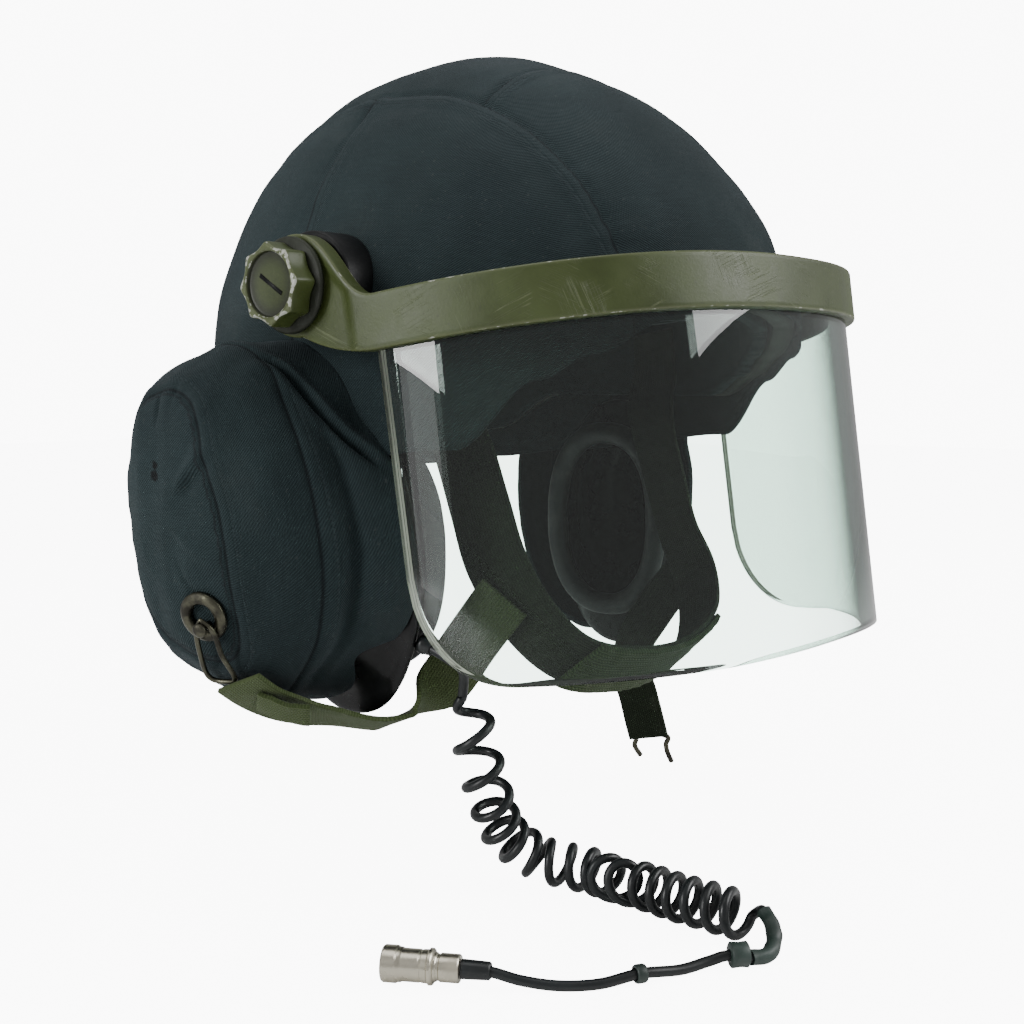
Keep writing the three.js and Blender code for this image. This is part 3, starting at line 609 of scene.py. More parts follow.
def frame_band():
    """The band round the visor's top, with a rounded lobe at each end that stands a step lower."""
    rows = frame_section()
    bm = sheet_grid(300, len(rows))
    bm.verts.index_update()
    weave, edge = {}, {}
    for vertex in bm.verts:
        u = vertex.co.x
        v, depth, back, worn = rows[round(vertex.co.y * len(rows)) % len(rows)]
        p, y = frame_station(u)
        high, low = lobe_height(y) if y > -44 else (FRAME_BAND["top"], FRAME_BAND["bottom"])
        middle, half = (high + low) / 2, (high - low) / 2
        inset = 1 - back / max(half, back, 1e-6)
        z = middle + half * (2 * v - 1) * inset
        ridge = RIDGE["y"] + max(z - RIDGE["above"], 0) * RIDGE["slant"]
        proud = RIDGE["height"] * smooth(ridge + RIDGE["half"], ridge - RIDGE["half"], y)
        lower = (proud - RIDGE["height"]) * (1 - depth / FRAME_BAND["wall"])
        flat = outline_way(p)
        edge[vertex.index] = worn
        weave[vertex.index] = (u * 0.56, (z - depth) * MM)
        vertex.co = tip(Vector((p.x, p.y, z)) + flat * (lower - depth))
    store_uv(bm, weave)
    store_value(bm, "edge", edge)
    bmesh.ops.remove_doubles(bm, verts=bm.verts, dist=1e-3)
    return outward(bm)


def outline_way(p):
    """The way straight out of the frame's outline at a point of it."""
    if p.y >= 0:
        return Vector((math.copysign(1, p.x), 0, 0))
    bend = FRAME_BAND["power"] - 1
    return Vector((
        math.copysign(abs(p.x / FRAME_BAND["half_width"]) ** bend, p.x) / FRAME_BAND["half_width"],
        -(abs(p.y / FRAME_BAND["reach"]) ** bend) / FRAME_BAND["reach"],
        0,
    )).normalized()


def outward_from(bm, middle):
    """Turns an open sheet so that its faces look away from a middle point."""
    bmesh.ops.recalc_face_normals(bm, faces=bm.faces)
    bm.faces.ensure_lookup_table()
    face = bm.faces[len(bm.faces) // 2]
    if face.normal.dot(face.calc_center_median() - middle) < 0:
        bmesh.ops.reverse_faces(bm, faces=bm.faces)
    return bm


def visor_low(y):
    """The visor's lower edge: nearly straight, with a rounded corner at each rear edge."""
    share = (VISOR["rear"] - y) / (FRAME_BAND["reach"] - 40)
    low = VISOR["low_rear"] + (VISOR["low_front"] - VISOR["low_rear"]) * min(share * 1.1, 1.0)
    into = VISOR["rear"] - y
    if into < VISOR["corner"]:
        t = 1 - into / VISOR["corner"]
        low += VISOR["corner"] * (1 - math.sqrt(max(1 - t**2.2, 0.0)))
    return low


def visor_sheet():
    bm = sheet_grid(220, 72)
    offset = VISOR["inset"]
    first = band_angle_at(VISOR["rear"], offset)
    bm.verts.index_update()
    weave = {}
    for vertex in bm.verts:
        u, v = vertex.co.x, vertex.co.y
        weave[vertex.index] = (u * 0.44, v * 0.135)
        side = -1 if u < 0.5 else 1
        away = math.sin(abs(u - 0.5) * math.pi)
        away = 0.35 * away + 0.65 * abs(u - 0.5) * 2
        p = band_place(side * first * away, offset)
        low = visor_low(p.y)
        vertex.co = tip((p.x, p.y, low + (VISOR["top"] - low) * v))
    store_uv(bm, weave)
    return outward_from(bm, Vector((0, -20, -90)))


# Turned pieces


def spin_round(bm, geom, steps):
    bmesh.ops.spin(
        bm, geom=geom, cent=(0, 0, 0), axis=(0, 0, 1), angle=2 * math.pi, steps=steps, use_merge=True
    )


def turned(profile, start, way, steps=48):
    """A profile of (height, radius) pairs in millimetres, turned about an axis that starts at a point."""
    bm = bmesh.new()
    points = [bm.verts.new((radius, 0, height)) for height, radius in profile]
    edges = [bm.edges.new(pair) for pair in zip(points, points[1:])]
    spin_round(bm, points + edges, steps)
    bmesh.ops.remove_doubles(bm, verts=bm.verts, dist=1e-4)
    turn = Vector((0, 0, 1)).rotation_difference(Vector(way)).to_matrix()
    for vertex in bm.verts:
        vertex.co = turn @ vertex.co + Vector(start)
    return outward(bm)


def knob_mesh(side):
    """A turned knob whose rim is cut into broad lobes, with a flat round recess in its face."""
    high, radius, recess = KNOB["height"], KNOB["radius"], KNOB["recess"]
    profile = [
        (0, 0.01, 0), (0, radius - 0.6, 0), (0.6, radius, 0), (high - 1.6, radius, 0.1),
        (high - 0.5, radius - 0.3, 1), (high, radius - 1.0, 1), (high, recess + 1.2, 0.7),
        (high - 0.5, recess + 0.4, 0.9), (high - 2.1, recess, 0), (high - 2.3, recess - 0.8, 0),
        (high - 1.9, 0.01, 0),
    ]
    bm = bmesh.new()
    wear = bm.verts.layers.float.new("edge")
    points = []
    for height, reach, edge in profile:
        points.append(bm.verts.new((reach, 0, height)))
        points[-1][wear] = edge
    lines = [bm.edges.new(pair) for pair in zip(points, points[1:])]
    steps = KNOB["lobes"] * 18
    spin_round(bm, points + lines, steps)
    bmesh.ops.remove_doubles(bm, verts=bm.verts, dist=1e-4)
    for vertex in bm.verts:
        x, y, z = vertex.co
        reach, way = math.hypot(x, y), math.atan2(y, x)
        notch = math.sqrt(math.sin(KNOB["lobes"] * way / 2 + 0.25) ** 2 + 0.012)
        cut = KNOB["lobe"] * 2 * notch * smooth(recess + 0.9, radius - 1.2, reach)
        reach = max(reach - cut, 0)
        vertex.co = Vector((side * (KNOB["inner"] + z), reach * math.cos(way), reach * math.sin(way)))
    return outward(bm)


def slot_shade_inlay(side):
    """The short slot cut across the middle of the knob, as a thin dark inlay: painted shade in place of the
    slot's depth.
    """
    bm = bmesh.new()
    bmesh.ops.create_cube(bm, size=1)
    bmesh.ops.scale(bm, verts=bm.verts, vec=(0.7, 14.0, 1.6))
    bmesh.ops.rotate(bm, verts=bm.verts, matrix=Matrix.Rotation(0.55, 3, "X"))
    out = KNOB["inner"] + KNOB["height"] - 2.2
    bmesh.ops.translate(bm, verts=bm.verts, vec=(side * out, 0, 0))
    return bm


def base_disc(side):
    bm = bmesh.new()
    bmesh.ops.create_circle(bm, cap_ends=True, segments=96, radius=1)
    rim = bmesh.ops.extrude_face_region(bm, geom=bm.faces[:])
    top = {v for v in rim["geom"] if isinstance(v, bmesh.types.BMVert)}
    for vertex in bm.verts:
        way = math.atan2(vertex.co.y, vertex.co.x)
        below = max(-math.sin(way), 1e-6)
        radius = min(BASE_DISC["radius"], BASE_DISC["flat"] / below)
        y, z = radius * math.cos(way), radius * math.sin(way)
        x = BASE_DISC["face"] if vertex in top else dome_half_width(y, z) - 0.6
        vertex.co = Vector((side * x, y, z))
    return outward(bm)


# Straps


def curve_point(points, share):
    """A smooth way through a list of points, and its direction."""
    spot = min(max(share, 0.0), 1.0) * (len(points) - 1)
    i = min(int(spot), len(points) - 2)
    t = spot - i
    a, b, c, d = (points[min(max(k, 0), len(points) - 1)] for k in (i - 1, i, i + 1, i + 2))
    square, cube = 2 * a - 5 * b + 4 * c - d, 3 * b - a - 3 * c + d
    place_at = 0.5 * ((2 * b) + (c - a) * t + square * t**2 + cube * t**3)
    way = 0.5 * ((c - a) + 2 * square * t + 3 * cube * t**2)
    return place_at, way


def even_points(points, count):
    """Points at equal steps along the smooth way through a list of points."""
    fine = [curve_point(points, k / 600)[0] for k in range(601)]
    lengths = [0.0]
    for a, b in zip(fine, fine[1:]):
        lengths.append(lengths[-1] + (b - a).length)
    found, j = [], 0
    for k in range(count + 1):
        target = lengths[-1] * k / count
        while j < 599 and lengths[j + 1] < target:
            j += 1
        t = (target - lengths[j]) / max(lengths[j + 1] - lengths[j], 1e-9)
        found.append((j + t) / 600)
    return found, lengths[-1]


def strap(rows, width, relief, lift, start, end):
    """A flat band along rows of (point, way its face looks)."""
    points = [Vector(p) for p, _ in rows]
    faces = [Vector(f).normalized() for _, f in rows]
    shares, length = even_points(points, 400)
    count = max(int(length * (end - start) / 2.5), 8)
    bm = sheet_grid(count, 12)
    bm.verts.index_update()
    weave = {}
    for vertex in bm.verts:
        u, v = start + (end - start) * vertex.co.x, vertex.co.y - 0.5
        step = int(u * 400)
        share, nxt = shares[min(step, 400)], shares[min(step + 1, 400)]
        share += (nxt - share) * (u * 400 - step)
        p, way = curve_point(points, share)
        face, _ = curve_point(faces, share)
        way.normalize()
        face = (face - way * face.dot(way)).normalized()
        side = way.cross(face)
        weave[vertex.index] = (u * length * MM, v * width * MM)
        vertex.co = p + side * (v * width) + face * (lift + relief(u, v))
    store_uv(bm, weave)
    return bm


def mirror_rows(rows):
    return [((-p[0], p[1], p[2]), (-f[0], f[1], f[2])) for p, f in rows]


CHIN_RIGHT = [
    ((-97.9, -18, -12), (-1, -0.16, 0)),
    ((-97, -20, -26), (-1, -0.16, -0.2)),
    ((-89, -24, -39), (-1, -0.1, -0.8)),
    ((-79.5, -28.5, -50), (-1, -0.15, -0.6)),
    ((-75.5, -34, -66), (-1, -0.2, -0.1)),
    ((-74.5, -42, -90), (-1, -0.2, 0.1)),
    ((-74, -50, -112), (-1, -0.3, -0.05)),
    ((-71, -62, -132), (-1, -0.35, -0.3)),
    ((-60, -71, -148), (-0.8, -0.45, -0.5)),
    ((-44, -76, -157), (-0.5, -0.65, -0.68)),
    ((-22, -80, -161), (-0.2, -0.7, -0.75)),
]
CHIN_ROWS = CHIN_RIGHT + [((0, -81, -162.5), (0, -0.7, -0.75))] + mirror_rows(CHIN_RIGHT)[::-1]
HOOK_RIGHT = [
    ((-76.7, -57, -126), (-1, -0.3, -0.15)),
    ((-77, -40, -146), (-1, 0, -0.4)),
    ((-79, -24, -167), (-0.8, -0.1, -0.7)),
    ((-90, -15, -179), (-0.3, -0.2, -0.95)),
    ((-104, -11, -182), (0, -0.4, -0.9)),
    ((-120, 0.5, -178.4), (-0.05, -0.45, -0.9)),
    ((-130, 5, -175.6), (-0.15, -0.45, -0.88)),
    ((-141.5, 9, -170.8), (-0.3, -0.45, -0.82)),
    ((-152.5, 11.8, -165), (-0.45, -0.42, -0.78)),
    ((-162, 13.5, -157.6), (-0.6, -0.4, -0.7)),
]
HOOK_LEFT = mirror_rows(HOOK_RIGHT[:2]) + [
    ((79, -22, -169), (1, 0, -0.3)),
    ((86, -13, -187), (1, 0, -0.2)),
    ((91, -15, -206), (1, 0, -0.1)),
    ((94, -20, -228), (1, 0, 0)),
]
TAIL_RIGHT = [
    ((-154.6, 10.3, -165.9), (-0.5, -0.45, -0.75)),
    ((-151, 4, -169), (-0.5, -0.5, -0.7)),
    ((-147, -1, -171), (-0.5, -0.5, -0.7)),
    ((-142, -7, -172), (-0.5, -0.5, -0.7)),
]


def bar_curve(name, points, radius, sides):
    """A round bar through points in millimetres, as a curve."""
    data = bpy.data.curves.new(name, "CURVE")
    data.dimensions = "3D"
    data.bevel_depth = radius * MM
    data.bevel_resolution = sides
    data.use_fill_caps = True
    line = data.splines.new("POLY")
    line.points.add(len(points) - 1)
    for point, p in zip(line.points, points):
        point.co = (*(p * MM + PIVOT), 1)
    thing = bpy.data.objects.new(name, data)
    bpy.context.scene.collection.objects.link(thing)
    return thing


def tube(name, points, radius, material, closed=False, sides=6):
    """A round bar along a smooth way through points, as a mesh."""
    count = max(int(len(points) * 8), 8)
    places = [Vector(p) for p in points]
    if closed:
        places = places + places[:1]
    shares = even_points(places, count)[0]
    samples = [curve_point(places, s)[0] for s in shares]
    if closed:
        samples = samples[:-1]
    thing = bar_curve(name, samples, radius, sides)
    thing.data.splines[0].use_cyclic_u = closed
    bpy.context.view_layer.update()
    mesh = bpy.data.meshes.new_from_object(thing.evaluated_get(bpy.context.evaluated_depsgraph_get()))
    bpy.data.objects.remove(thing)
    solid = bpy.data.objects.new(name, mesh)
    bpy.context.scene.collection.objects.link(solid)
    mesh.materials.clear()
    mesh.materials.append(material)
    mesh.shade_smooth()
    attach(solid, "helmet")
    return solid


# Materials


class Board:
    """A tree of shader nodes, with short ways to add and join them."""

    def __init__(self, tree):
        self.tree = tree

    def feed(self, value, socket):
        if isinstance(value, bpy.types.NodeSocket):
            self.tree.links.new(value, socket)
        elif value is not None:
            socket.default_value = value

    def add(self, kind, settings=None, feeds=None):
        node = self.tree.nodes.new("ShaderNode" + kind)
        for key, value in (settings or {}).items():
            setattr(node, key, value)
        for key, value in (feeds or {}).items():
            self.feed(value, node.inputs[key])
        return node

    def math(self, operation, a, b=None, clamp=False):
        node = self.add("Math", {"operation": operation, "use_clamp": clamp}, {0: a, 1: b})
        return node.outputs[0]

    def plus(self, a, b, clamp=False):
        return self.math("ADD", a, b, clamp)

    def less(self, a, b):
        return self.math("SUBTRACT", a, b)

    def times(self, a, b, clamp=False):
        return self.math("MULTIPLY", a, b, clamp)

    def over(self, a, b):
        return self.math("DIVIDE", a, b)

    def size(self, a):
        return self.math("ABSOLUTE", a)

    def scale(self, vector, by):
        node = self.add("VectorMath", {"operation": "MULTIPLY"}, {0: vector, 1: by})
        return node.outputs[0]

    def noise(self, vector, scale, detail, rough=0.5):
        feeds = {"Vector": vector, "Scale": scale, "Detail": detail, "Roughness": rough}
        return self.add("TexNoise", None, feeds).outputs["Fac"]

    def between(self, value, low, high, to_low=0.0, to_high=1.0):
        feeds = {"Value": value, "From Min": low, "From Max": high, "To Min": to_low, "To Max": to_high}
        return self.add("MapRange", {"interpolation_type": "SMOOTHSTEP", "clamp": True}, feeds).outputs[0]

    def mix(self, share, a, b):
        node = self.add("Mix", {"data_type": "RGBA"}, {0: share, 6: a, 7: b})
        return node.outputs[2]

    def split(self, vector):
        return self.add("SeparateXYZ", None, {0: vector}).outputs

    def place(self):
        return self.add("TexCoord").outputs["Object"]

    def weave(self):
        return self.add("UVMap", {"uv_map": "weave"}).outputs[0]

    def value(self, name):
        return self.add("Attribute", {"attribute_name": name}).outputs["Fac"]

    def bump(self, height, depth):
        feeds = {"Height": height, "Distance": depth, "Strength": 1.0}
        return self.add("Bump", None, feeds).outputs[0]

    def group(self, tree, feeds):
        node = self.add("Group", {"node_tree": tree})
        for key, value in feeds.items():
            self.feed(value, node.inputs[key])
        return node.outputs


def effect(name, inputs, outputs, build):
    """A shader node group. The build rule gets the board and the inputs, and returns the outputs."""
    tree = bpy.data.node_groups.new(name, "ShaderNodeTree")
    for title in inputs:
        kind = "Vector" if title in ("Cloth", "Place") else "Float"
        tree.interface.new_socket(name=title, in_out="INPUT", socket_type="NodeSocket" + kind)
    for title in outputs:
        tree.interface.new_socket(name=title, in_out="OUTPUT", socket_type="NodeSocketFloat")
    board = Board(tree)
    source = tree.nodes.new("NodeGroupInput")
    sink = tree.nodes.new("NodeGroupOutput")
    for socket, value in zip(sink.inputs, build(board, source.outputs)):
        board.feed(value, socket)
    return tree


def twill_rule(board, given):
    u, v, _ = board.split(given["Cloth"])
    turns = 2 * math.pi
    diagonal = board.plus(board.over(u, given["Pitch"]), board.over(v, given["Pitch"]))
    ridge = board.math("SINE", board.times(diagonal, turns))
    thread = board.math("SINE", board.times(board.over(v, given["Pitch"]), turns * 2.0))
    fuzz = board.noise(given["Cloth"], 2600, 2.0)
    height = board.plus(board.times(ridge, 0.34), board.times(thread, 0.12))
    height = board.plus(board.plus(height, 0.3), board.times(fuzz, 0.45))
    slub = board.noise(board.scale(given["Cloth"], (90, 900, 1)), 1.0, 2.0)
    return height, slub


def webbing_rule(board, given):
    u, v, _ = board.split(given["Cloth"])
    turns = 2 * math.pi
    across = board.over(v, given["Pitch"])
    rib = board.size(board.math("SINE", board.times(across, math.pi)))
    slant = board.plus(board.over(u, given["Pitch"]), board.math("PINGPONG", across, 1.0))
    pick = board.math("SINE", board.times(slant, turns))
    fuzz = board.noise(given["Cloth"], 3200, 2.0)
    height = board.plus(board.times(rib, 0.6), board.times(pick, 0.25))
    return (board.plus(height, board.times(fuzz, 0.12)),)


def stitch_rule(board, given):
    """A row of stitches: a mask of the thread, and one of the dip that it pulls into the cloth."""
    off = board.size(board.less(given["Away"], given["Offset"]))
    line = board.between(off, 0.0003, 0.0006, 1, 0)
    step = board.math("FRACT", board.over(given["Along"], given["Pitch"]))
    dash = board.between(board.size(board.less(step, 0.5)), 0.3, 0.38, 1, 0)
    dip = board.between(off, 0.0002, 0.0016, 1, 0)
    return board.times(line, dash), dip


def dust_rule(board, given):
    cloud = board.between(board.noise(given["Place"], given["Patches"], 5.0, 0.62), 0.52, 0.72)
    speck = board.between(board.noise(given["Place"], given["Specks"], 2.0), 0.66, 0.74)
    return cloud, speck


def scratch_rule(board, given):
    """Long thin lines in three ways, broken up by a coarse pattern. The place is flat, in metres."""
    masks = []
    for turn, stretch, seed in ((0.5, 55, 3.0), (-0.35, 40, 9.0), (1.25, 60, 17.0)):
        turned = board.add(
            "Mapping", None, {"Vector": given["Place"], "Rotation": (0, 0, turn), "Location": (seed, seed, 0)}
        ).outputs[0]
        grain = board.noise(board.scale(turned, (1, stretch, 0)), given["Scale"], 1.0)
        off = board.size(board.less(grain, 0.5))
        line = board.between(off, 0.0, given["Width"], 1, 0)
        where = board.between(board.noise(turned, board.times(given["Scale"], 3.0), 2.0), 0.54, 0.62)
        masks.append(board.times(line, where))
    return (board.math("MAXIMUM", board.math("MAXIMUM", masks[0], masks[1]), masks[2]),)


def chip_rule(board, given):
    """Where an edge has lost its paint: near the edge, in uneven spots."""
    grain = board.noise(given["Place"], given["Scale"], 4.0, 0.65)
    level = board.plus(board.times(given["Edge"], given["Amount"]), grain)
    return (board.between(level, 0.92, 1.0),)


TWILL = effect("twill", ["Cloth", "Pitch"], ["Height", "Slub"], twill_rule)
WEBBING_WEAVE = effect("webbing", ["Cloth", "Pitch"], ["Height"], webbing_rule)
STITCHES = effect("stitches", ["Away", "Along", "Offset", "Pitch"], ["Thread", "Dip"], stitch_rule)
DUST = effect("dust", ["Place", "Patches", "Specks"], ["Cloud", "Speck"], dust_rule)
SCRATCHES = effect("scratches", ["Place", "Scale", "Width"], ["Mask"], scratch_rule)
CHIPS = effect("chips", ["Place", "Edge", "Scale", "Amount"], ["Mask"], chip_rule)


def material(name, plain=None):
    made = bpy.data.materials.new(name)
    made.use_nodes = True
    board = Board(made.node_tree)
    shader = made.node_tree.nodes["Principled BSDF"]
    for key, value in (plain or {}).items():
        shader.inputs[key].default_value = value
    return made, board, shader


TWILL_DARK = (0.0055, 0.0100, 0.0112, 1)
TWILL_LIGHT = (0.0240, 0.0400, 0.0425, 1)
LINT = (0.16, 0.155, 0.14, 1)


def twill_finish(name, seams=None, dusty=1.0, holes=()):
    """Dark navy cotton twill. The seams rule gives (away, along) pairs in metres for its stitches."""
    plain = {"Sheen Weight": 0.08, "Sheen Roughness": 0.35, "Specular IOR Level": 0.2}
    made, board, shader = material(name, plain)
    shader.inputs["Sheen Tint"].default_value = (0.55, 0.62, 0.7, 1)
    place_at = board.place()
    height, slub = board.group(TWILL, {"Cloth": board.weave(), "Pitch": 0.00125})
    cloud, speck = board.group(DUST, {"Place": place_at, "Patches": 17.0, "Specks": 620.0})
    fade = board.between(board.noise(place_at, 9.0, 4.0, 0.6), 0.35, 0.7)
    tone = board.plus(board.times(height, 0.6), board.times(slub, 0.3))
    tone = board.plus(tone, board.times(board.less(fade, 0.4), 0.3), clamp=True)
    colour = board.mix(tone, TWILL_DARK, TWILL_LIGHT)
    colour = board.mix(board.times(cloud, 0.05 * dusty), colour, LINT)
    colour = board.mix(board.times(speck, 0.1 * dusty), colour, LINT)
    relief = height
    for away, along, side in seams(board, place_at) if seams else ():
        feeds = {"Away": away, "Along": along, "Offset": 0.0052 * side, "Pitch": 0.0032}
        thread, dip = board.group(STITCHES, feeds)
        colour = board.mix(board.times(thread, 0.25), colour, (0.03, 0.042, 0.045, 1))
        relief = board.less(relief, board.times(dip, 1.3))
        relief = board.plus(relief, board.times(thread, 0.8))
        # Painted shade: the cloth is darkened along the middle of each seam's groove
        seam_groove_shade = board.between(board.size(away), 0.0, 0.0011, 1, 0)
        colour = board.mix(board.times(seam_groove_shade, 0.75), colour, (0.002, 0.003, 0.004, 1))
    # Holes are not cut: each is painted as a near-black spot, painted shade seen through it
    for centre, size in holes:
        near = board.add("VectorMath", {"operation": "DISTANCE"}, {0: place_at, 1: centre}).outputs["Value"]
        ragged = board.plus(near, board.times(board.noise(place_at, 420.0, 2.0), size))
        within = board.between(ragged, size * 1.1, size * 1.5, 0.9, 0)
        colour = board.mix(within, colour, (0.001, 0.001, 0.001, 1))
    board.feed(colour, shader.inputs["Base Color"])
    board.feed(board.between(tone, 0, 1, 0.93, 0.82), shader.inputs["Roughness"])
    board.feed(board.bump(relief, 0.00028), shader.inputs["Normal"])
    return made


def cover_seams(board, place_at):
    x, y, z = board.split(place_at)
    side = board.less(board.size(x), STRIP_HALF * MM)
    outer = board.between(side, 0.0, 0.0005)
    inner = board.between(side, -0.0005, 0.0, 1, 0)
    high = board.between(z, CROSS_SEAM_LOW * MM + PIVOT.z, (CROSS_SEAM_LOW + 3) * MM + PIVOT.z)
    back = board.less(SIDE_SEAM_Y * MM + PIVOT.y, y)
    cross = board.less(CROSS_SEAM_Y * MM + PIVOT.y, y)

    def only(away, where):
        return board.plus(away, board.between(where, 0, 1, 1.0, 0.0))

    angle = board.math("ARCTAN2", z, y)
    along = board.times(angle, 0.13)
    return [
        (side, along, 1),
        (only(back, outer), z, 1),
        (only(cross, board.times(inner, high)), x, 1),
    ]


def ear_seams(board, place_at):
    _, y, z = board.split(place_at)
    middle_y, middle_z = EAR_ROWS[2]["y"] * MM + PIVOT.y, EAR_ROWS[2]["z"] * MM + PIVOT.z
    angle = board.math("ARCTAN2", board.less(z, middle_z), board.less(y, middle_y))
    along = board.times(angle, EAR_WEAVE[0])
    return [(board.value(name), along, 1) for name in EAR_SEAMS]


def webbing_finish(name, dark, light, worn=0.15, pitch=0.0013):
    plain = {"Sheen Weight": 0.04, "Sheen Roughness": 0.5, "Specular IOR Level": 0.15}
    made, board, shader = material(name, plain)
    place_at = board.place()
    height = board.group(WEBBING_WEAVE, {"Cloth": board.weave(), "Pitch": pitch})[0]
    cloud = board.group(DUST, {"Place": place_at, "Patches": 55.0, "Specks": 900.0})[0]
    colour = board.mix(board.times(height, 0.8, clamp=True), dark, light)
    colour = board.mix(board.times(cloud, worn), colour, (0.2, 0.2, 0.16, 1))
    board.feed(colour, shader.inputs["Base Color"])
    board.feed(board.between(height, 0, 1, 0.85, 0.6), shader.inputs["Roughness"])
    board.feed(board.bump(height, 0.00026), shader.inputs["Normal"])
    return made


def paint_finish(name, wear=0.42, grain=330.0, recess_shade=0.0):
    """Olive paint with fine scratches, rubbed patches, and chips along its edges, and painted shade in the
    knob's recess where asked.
    """
    made, board, shader = material(name, {"Specular IOR Level": 0.4})
    place_at = board.place()
    flat_map = board.weave()
    blotch = board.between(board.noise(place_at, 26.0, 5.0, 0.6), 0.3, 0.72)
    colour = board.mix(blotch, (0.030, 0.041, 0.009, 1), (0.047, 0.064, 0.016, 1))
    speck = board.group(DUST, {"Place": place_at, "Patches": 40.0, "Specks": 480.0})[1]
    colour = board.mix(board.times(speck, 0.35), colour, (0.03, 0.034, 0.014, 1))
    scratch = board.group(SCRATCHES, {"Place": flat_map, "Scale": 14.0, "Width": 0.012})[0]
    colour = board.mix(board.times(scratch, 0.3), colour, (0.15, 0.17, 0.09, 1))
    rough = board.between(blotch, 0, 1, 0.36, 0.5)
    edge = board.value("edge")
    chip = board.group(CHIPS, {"Place": place_at, "Edge": edge, "Scale": grain, "Amount": wear})[0]
    rub = board.between(edge, 0.3, 1.0, 0, 0.3)
    # Painted shade: the knob's recess is darkened, most towards its wall
    if recess_shade:
        _, y, z = board.split(place_at)
        offs = (board.less(y, PIVOT.y), board.less(z, PIVOT.z))
        squares = [board.math("POWER", off, 2.0) for off in offs]
        reach = board.math("SQRT", board.plus(*squares))
        rim = board.between(reach, (KNOB["recess"] + 0.1) * MM, (KNOB["recess"] + 0.7) * MM, 1, 0)
        shade_strength = board.between(reach, 0.006, KNOB["recess"] * MM, recess_shade * 0.35, recess_shade)
        colour = board.mix(board.times(rim, shade_strength), colour, (0.006, 0.007, 0.003, 1))
    colour = board.mix(rub, colour, (0.15, 0.165, 0.085, 1))
    colour = board.mix(chip, colour, (0.4, 0.41, 0.36, 1))
    metal = board.times(chip, 0.5)
    speckle = board.noise(place_at, 900.0, 3.0)
    relief = board.less(board.times(speckle, 0.5), board.times(scratch, 0.6))
    board.feed(colour, shader.inputs["Base Color"])
    board.feed(rough, shader.inputs["Roughness"])
    board.feed(metal, shader.inputs["Metallic"])
    board.feed(board.bump(relief, 0.00012), shader.inputs["Normal"])
    return made


def clear_finish():
    """Clear laminate. Its shadow is let through, as a real one's is."""
    made, board, shader = material("clear_visor", {"Transmission Weight": 1.0, "IOR": 1.45})
    place_at = board.place()
    haze = board.between(board.noise(place_at, 30.0, 5.0, 0.6), 0.5, 0.85, 0.0, 0.025)
    # The glass has its own greenish tint, and its colour turns much darker at glancing angles: painted shade
    # there
    facing = board.add("LayerWeight", None, {"Blend": 0.35}).outputs["Facing"]
    glass_tint_and_glancing_shade = board.mix(board.between(facing, 0.3, 0.76), (0.46, 0.56, 0.51, 1), (0.035, 0.046, 0.04, 1))
    board.feed(glass_tint_and_glancing_shade, shader.inputs["Base Color"])
    board.feed(haze, shader.inputs["Roughness"])
    through = board.add("BsdfTransparent", None, {"Color": (0.93, 0.95, 0.94, 1)}).outputs[0]
    shadow = board.add("LightPath").outputs["Is Shadow Ray"]
    blend = board.add("MixShader", None, {0: shadow, 1: shader.outputs[0], 2: through}).outputs[0]
    board.feed(blend, made.node_tree.nodes["Material Output"].inputs["Surface"])
    return made


def laminate_edge_finish():
    """The visor's edge, ground matt: cream plies with two thin dark glue lines."""
    made, board, shader = material("visor_edge", {"Roughness": 0.38, "Specular IOR Level": 0.5})
    place_at = board.place()
    x, y, z = board.split(place_at)
    turn = math.radians(VISOR_TIP)
    ahead = board.times(board.less(y, PIVOT.y), math.cos(turn))
    ahead = board.less(ahead, board.times(board.less(z, PIVOT.z), math.sin(turn)))
    bend = FRAME_BAND["power"]
    shares = []
    for value, reach in ((x, FRAME_BAND["half_width"]), (ahead, FRAME_BAND["reach"])):
        share = board.over(board.size(value), (reach - VISOR["inset"]) * MM)
        shares.append(board.math("POWER", share, bend))
    out = board.math("POWER", board.plus(*shares), 1 / bend)
    plies = board.times(board.less(1.0, out), FRAME_BAND["half_width"] / VISOR["wall"])
    colour = board.mix(board.noise(place_at, 60.0, 4.0), (0.42, 0.40, 0.33, 1), (0.62, 0.6, 0.52, 1))
    for spot, width in ((0.36, 0.06), (0.7, 0.07)):
        off = board.size(board.less(plies, spot))
        colour = board.mix(board.between(off, width * 0.5, width, 0.85, 0), colour, (0.06, 0.055, 0.045, 1))
    board.feed(colour, shader.inputs["Base Color"])
    return made


def moulded_finish(name, colour, rough, grain=700.0, depth=0.00006, dusty=0.15, coat=0.0, shine=0.5):
    """Moulded plastic or rubber: a fine grain, rubbed patches and a little dust."""
    plain = {"Coat Weight": coat, "Coat Roughness": 0.08, "Specular IOR Level": shine}
    made, board, shader = material(name, plain)
    place_at = board.place()
    cloud, speck = board.group(DUST, {"Place": place_at, "Patches": 45.0, "Specks": 800.0})
    lighter = tuple(c * 1.9 + 0.0015 for c in colour[:3]) + (1,)
    mixed = board.mix(board.between(board.noise(place_at, 38.0, 4.0), 0.35, 0.7), colour, lighter)
    dust = board.times(board.math("MAXIMUM", cloud, speck), dusty)
    mixed = board.mix(dust, mixed, (0.2, 0.2, 0.19, 1))
    board.feed(mixed, shader.inputs["Base Color"])
    patch = board.noise(place_at, 70.0, 3.0)
    board.feed(board.between(patch, 0.3, 0.7, rough - 0.06, rough + 0.09), shader.inputs["Roughness"])
    board.feed(board.bump(board.noise(place_at, grain, 3.0), depth), shader.inputs["Normal"])
    return made


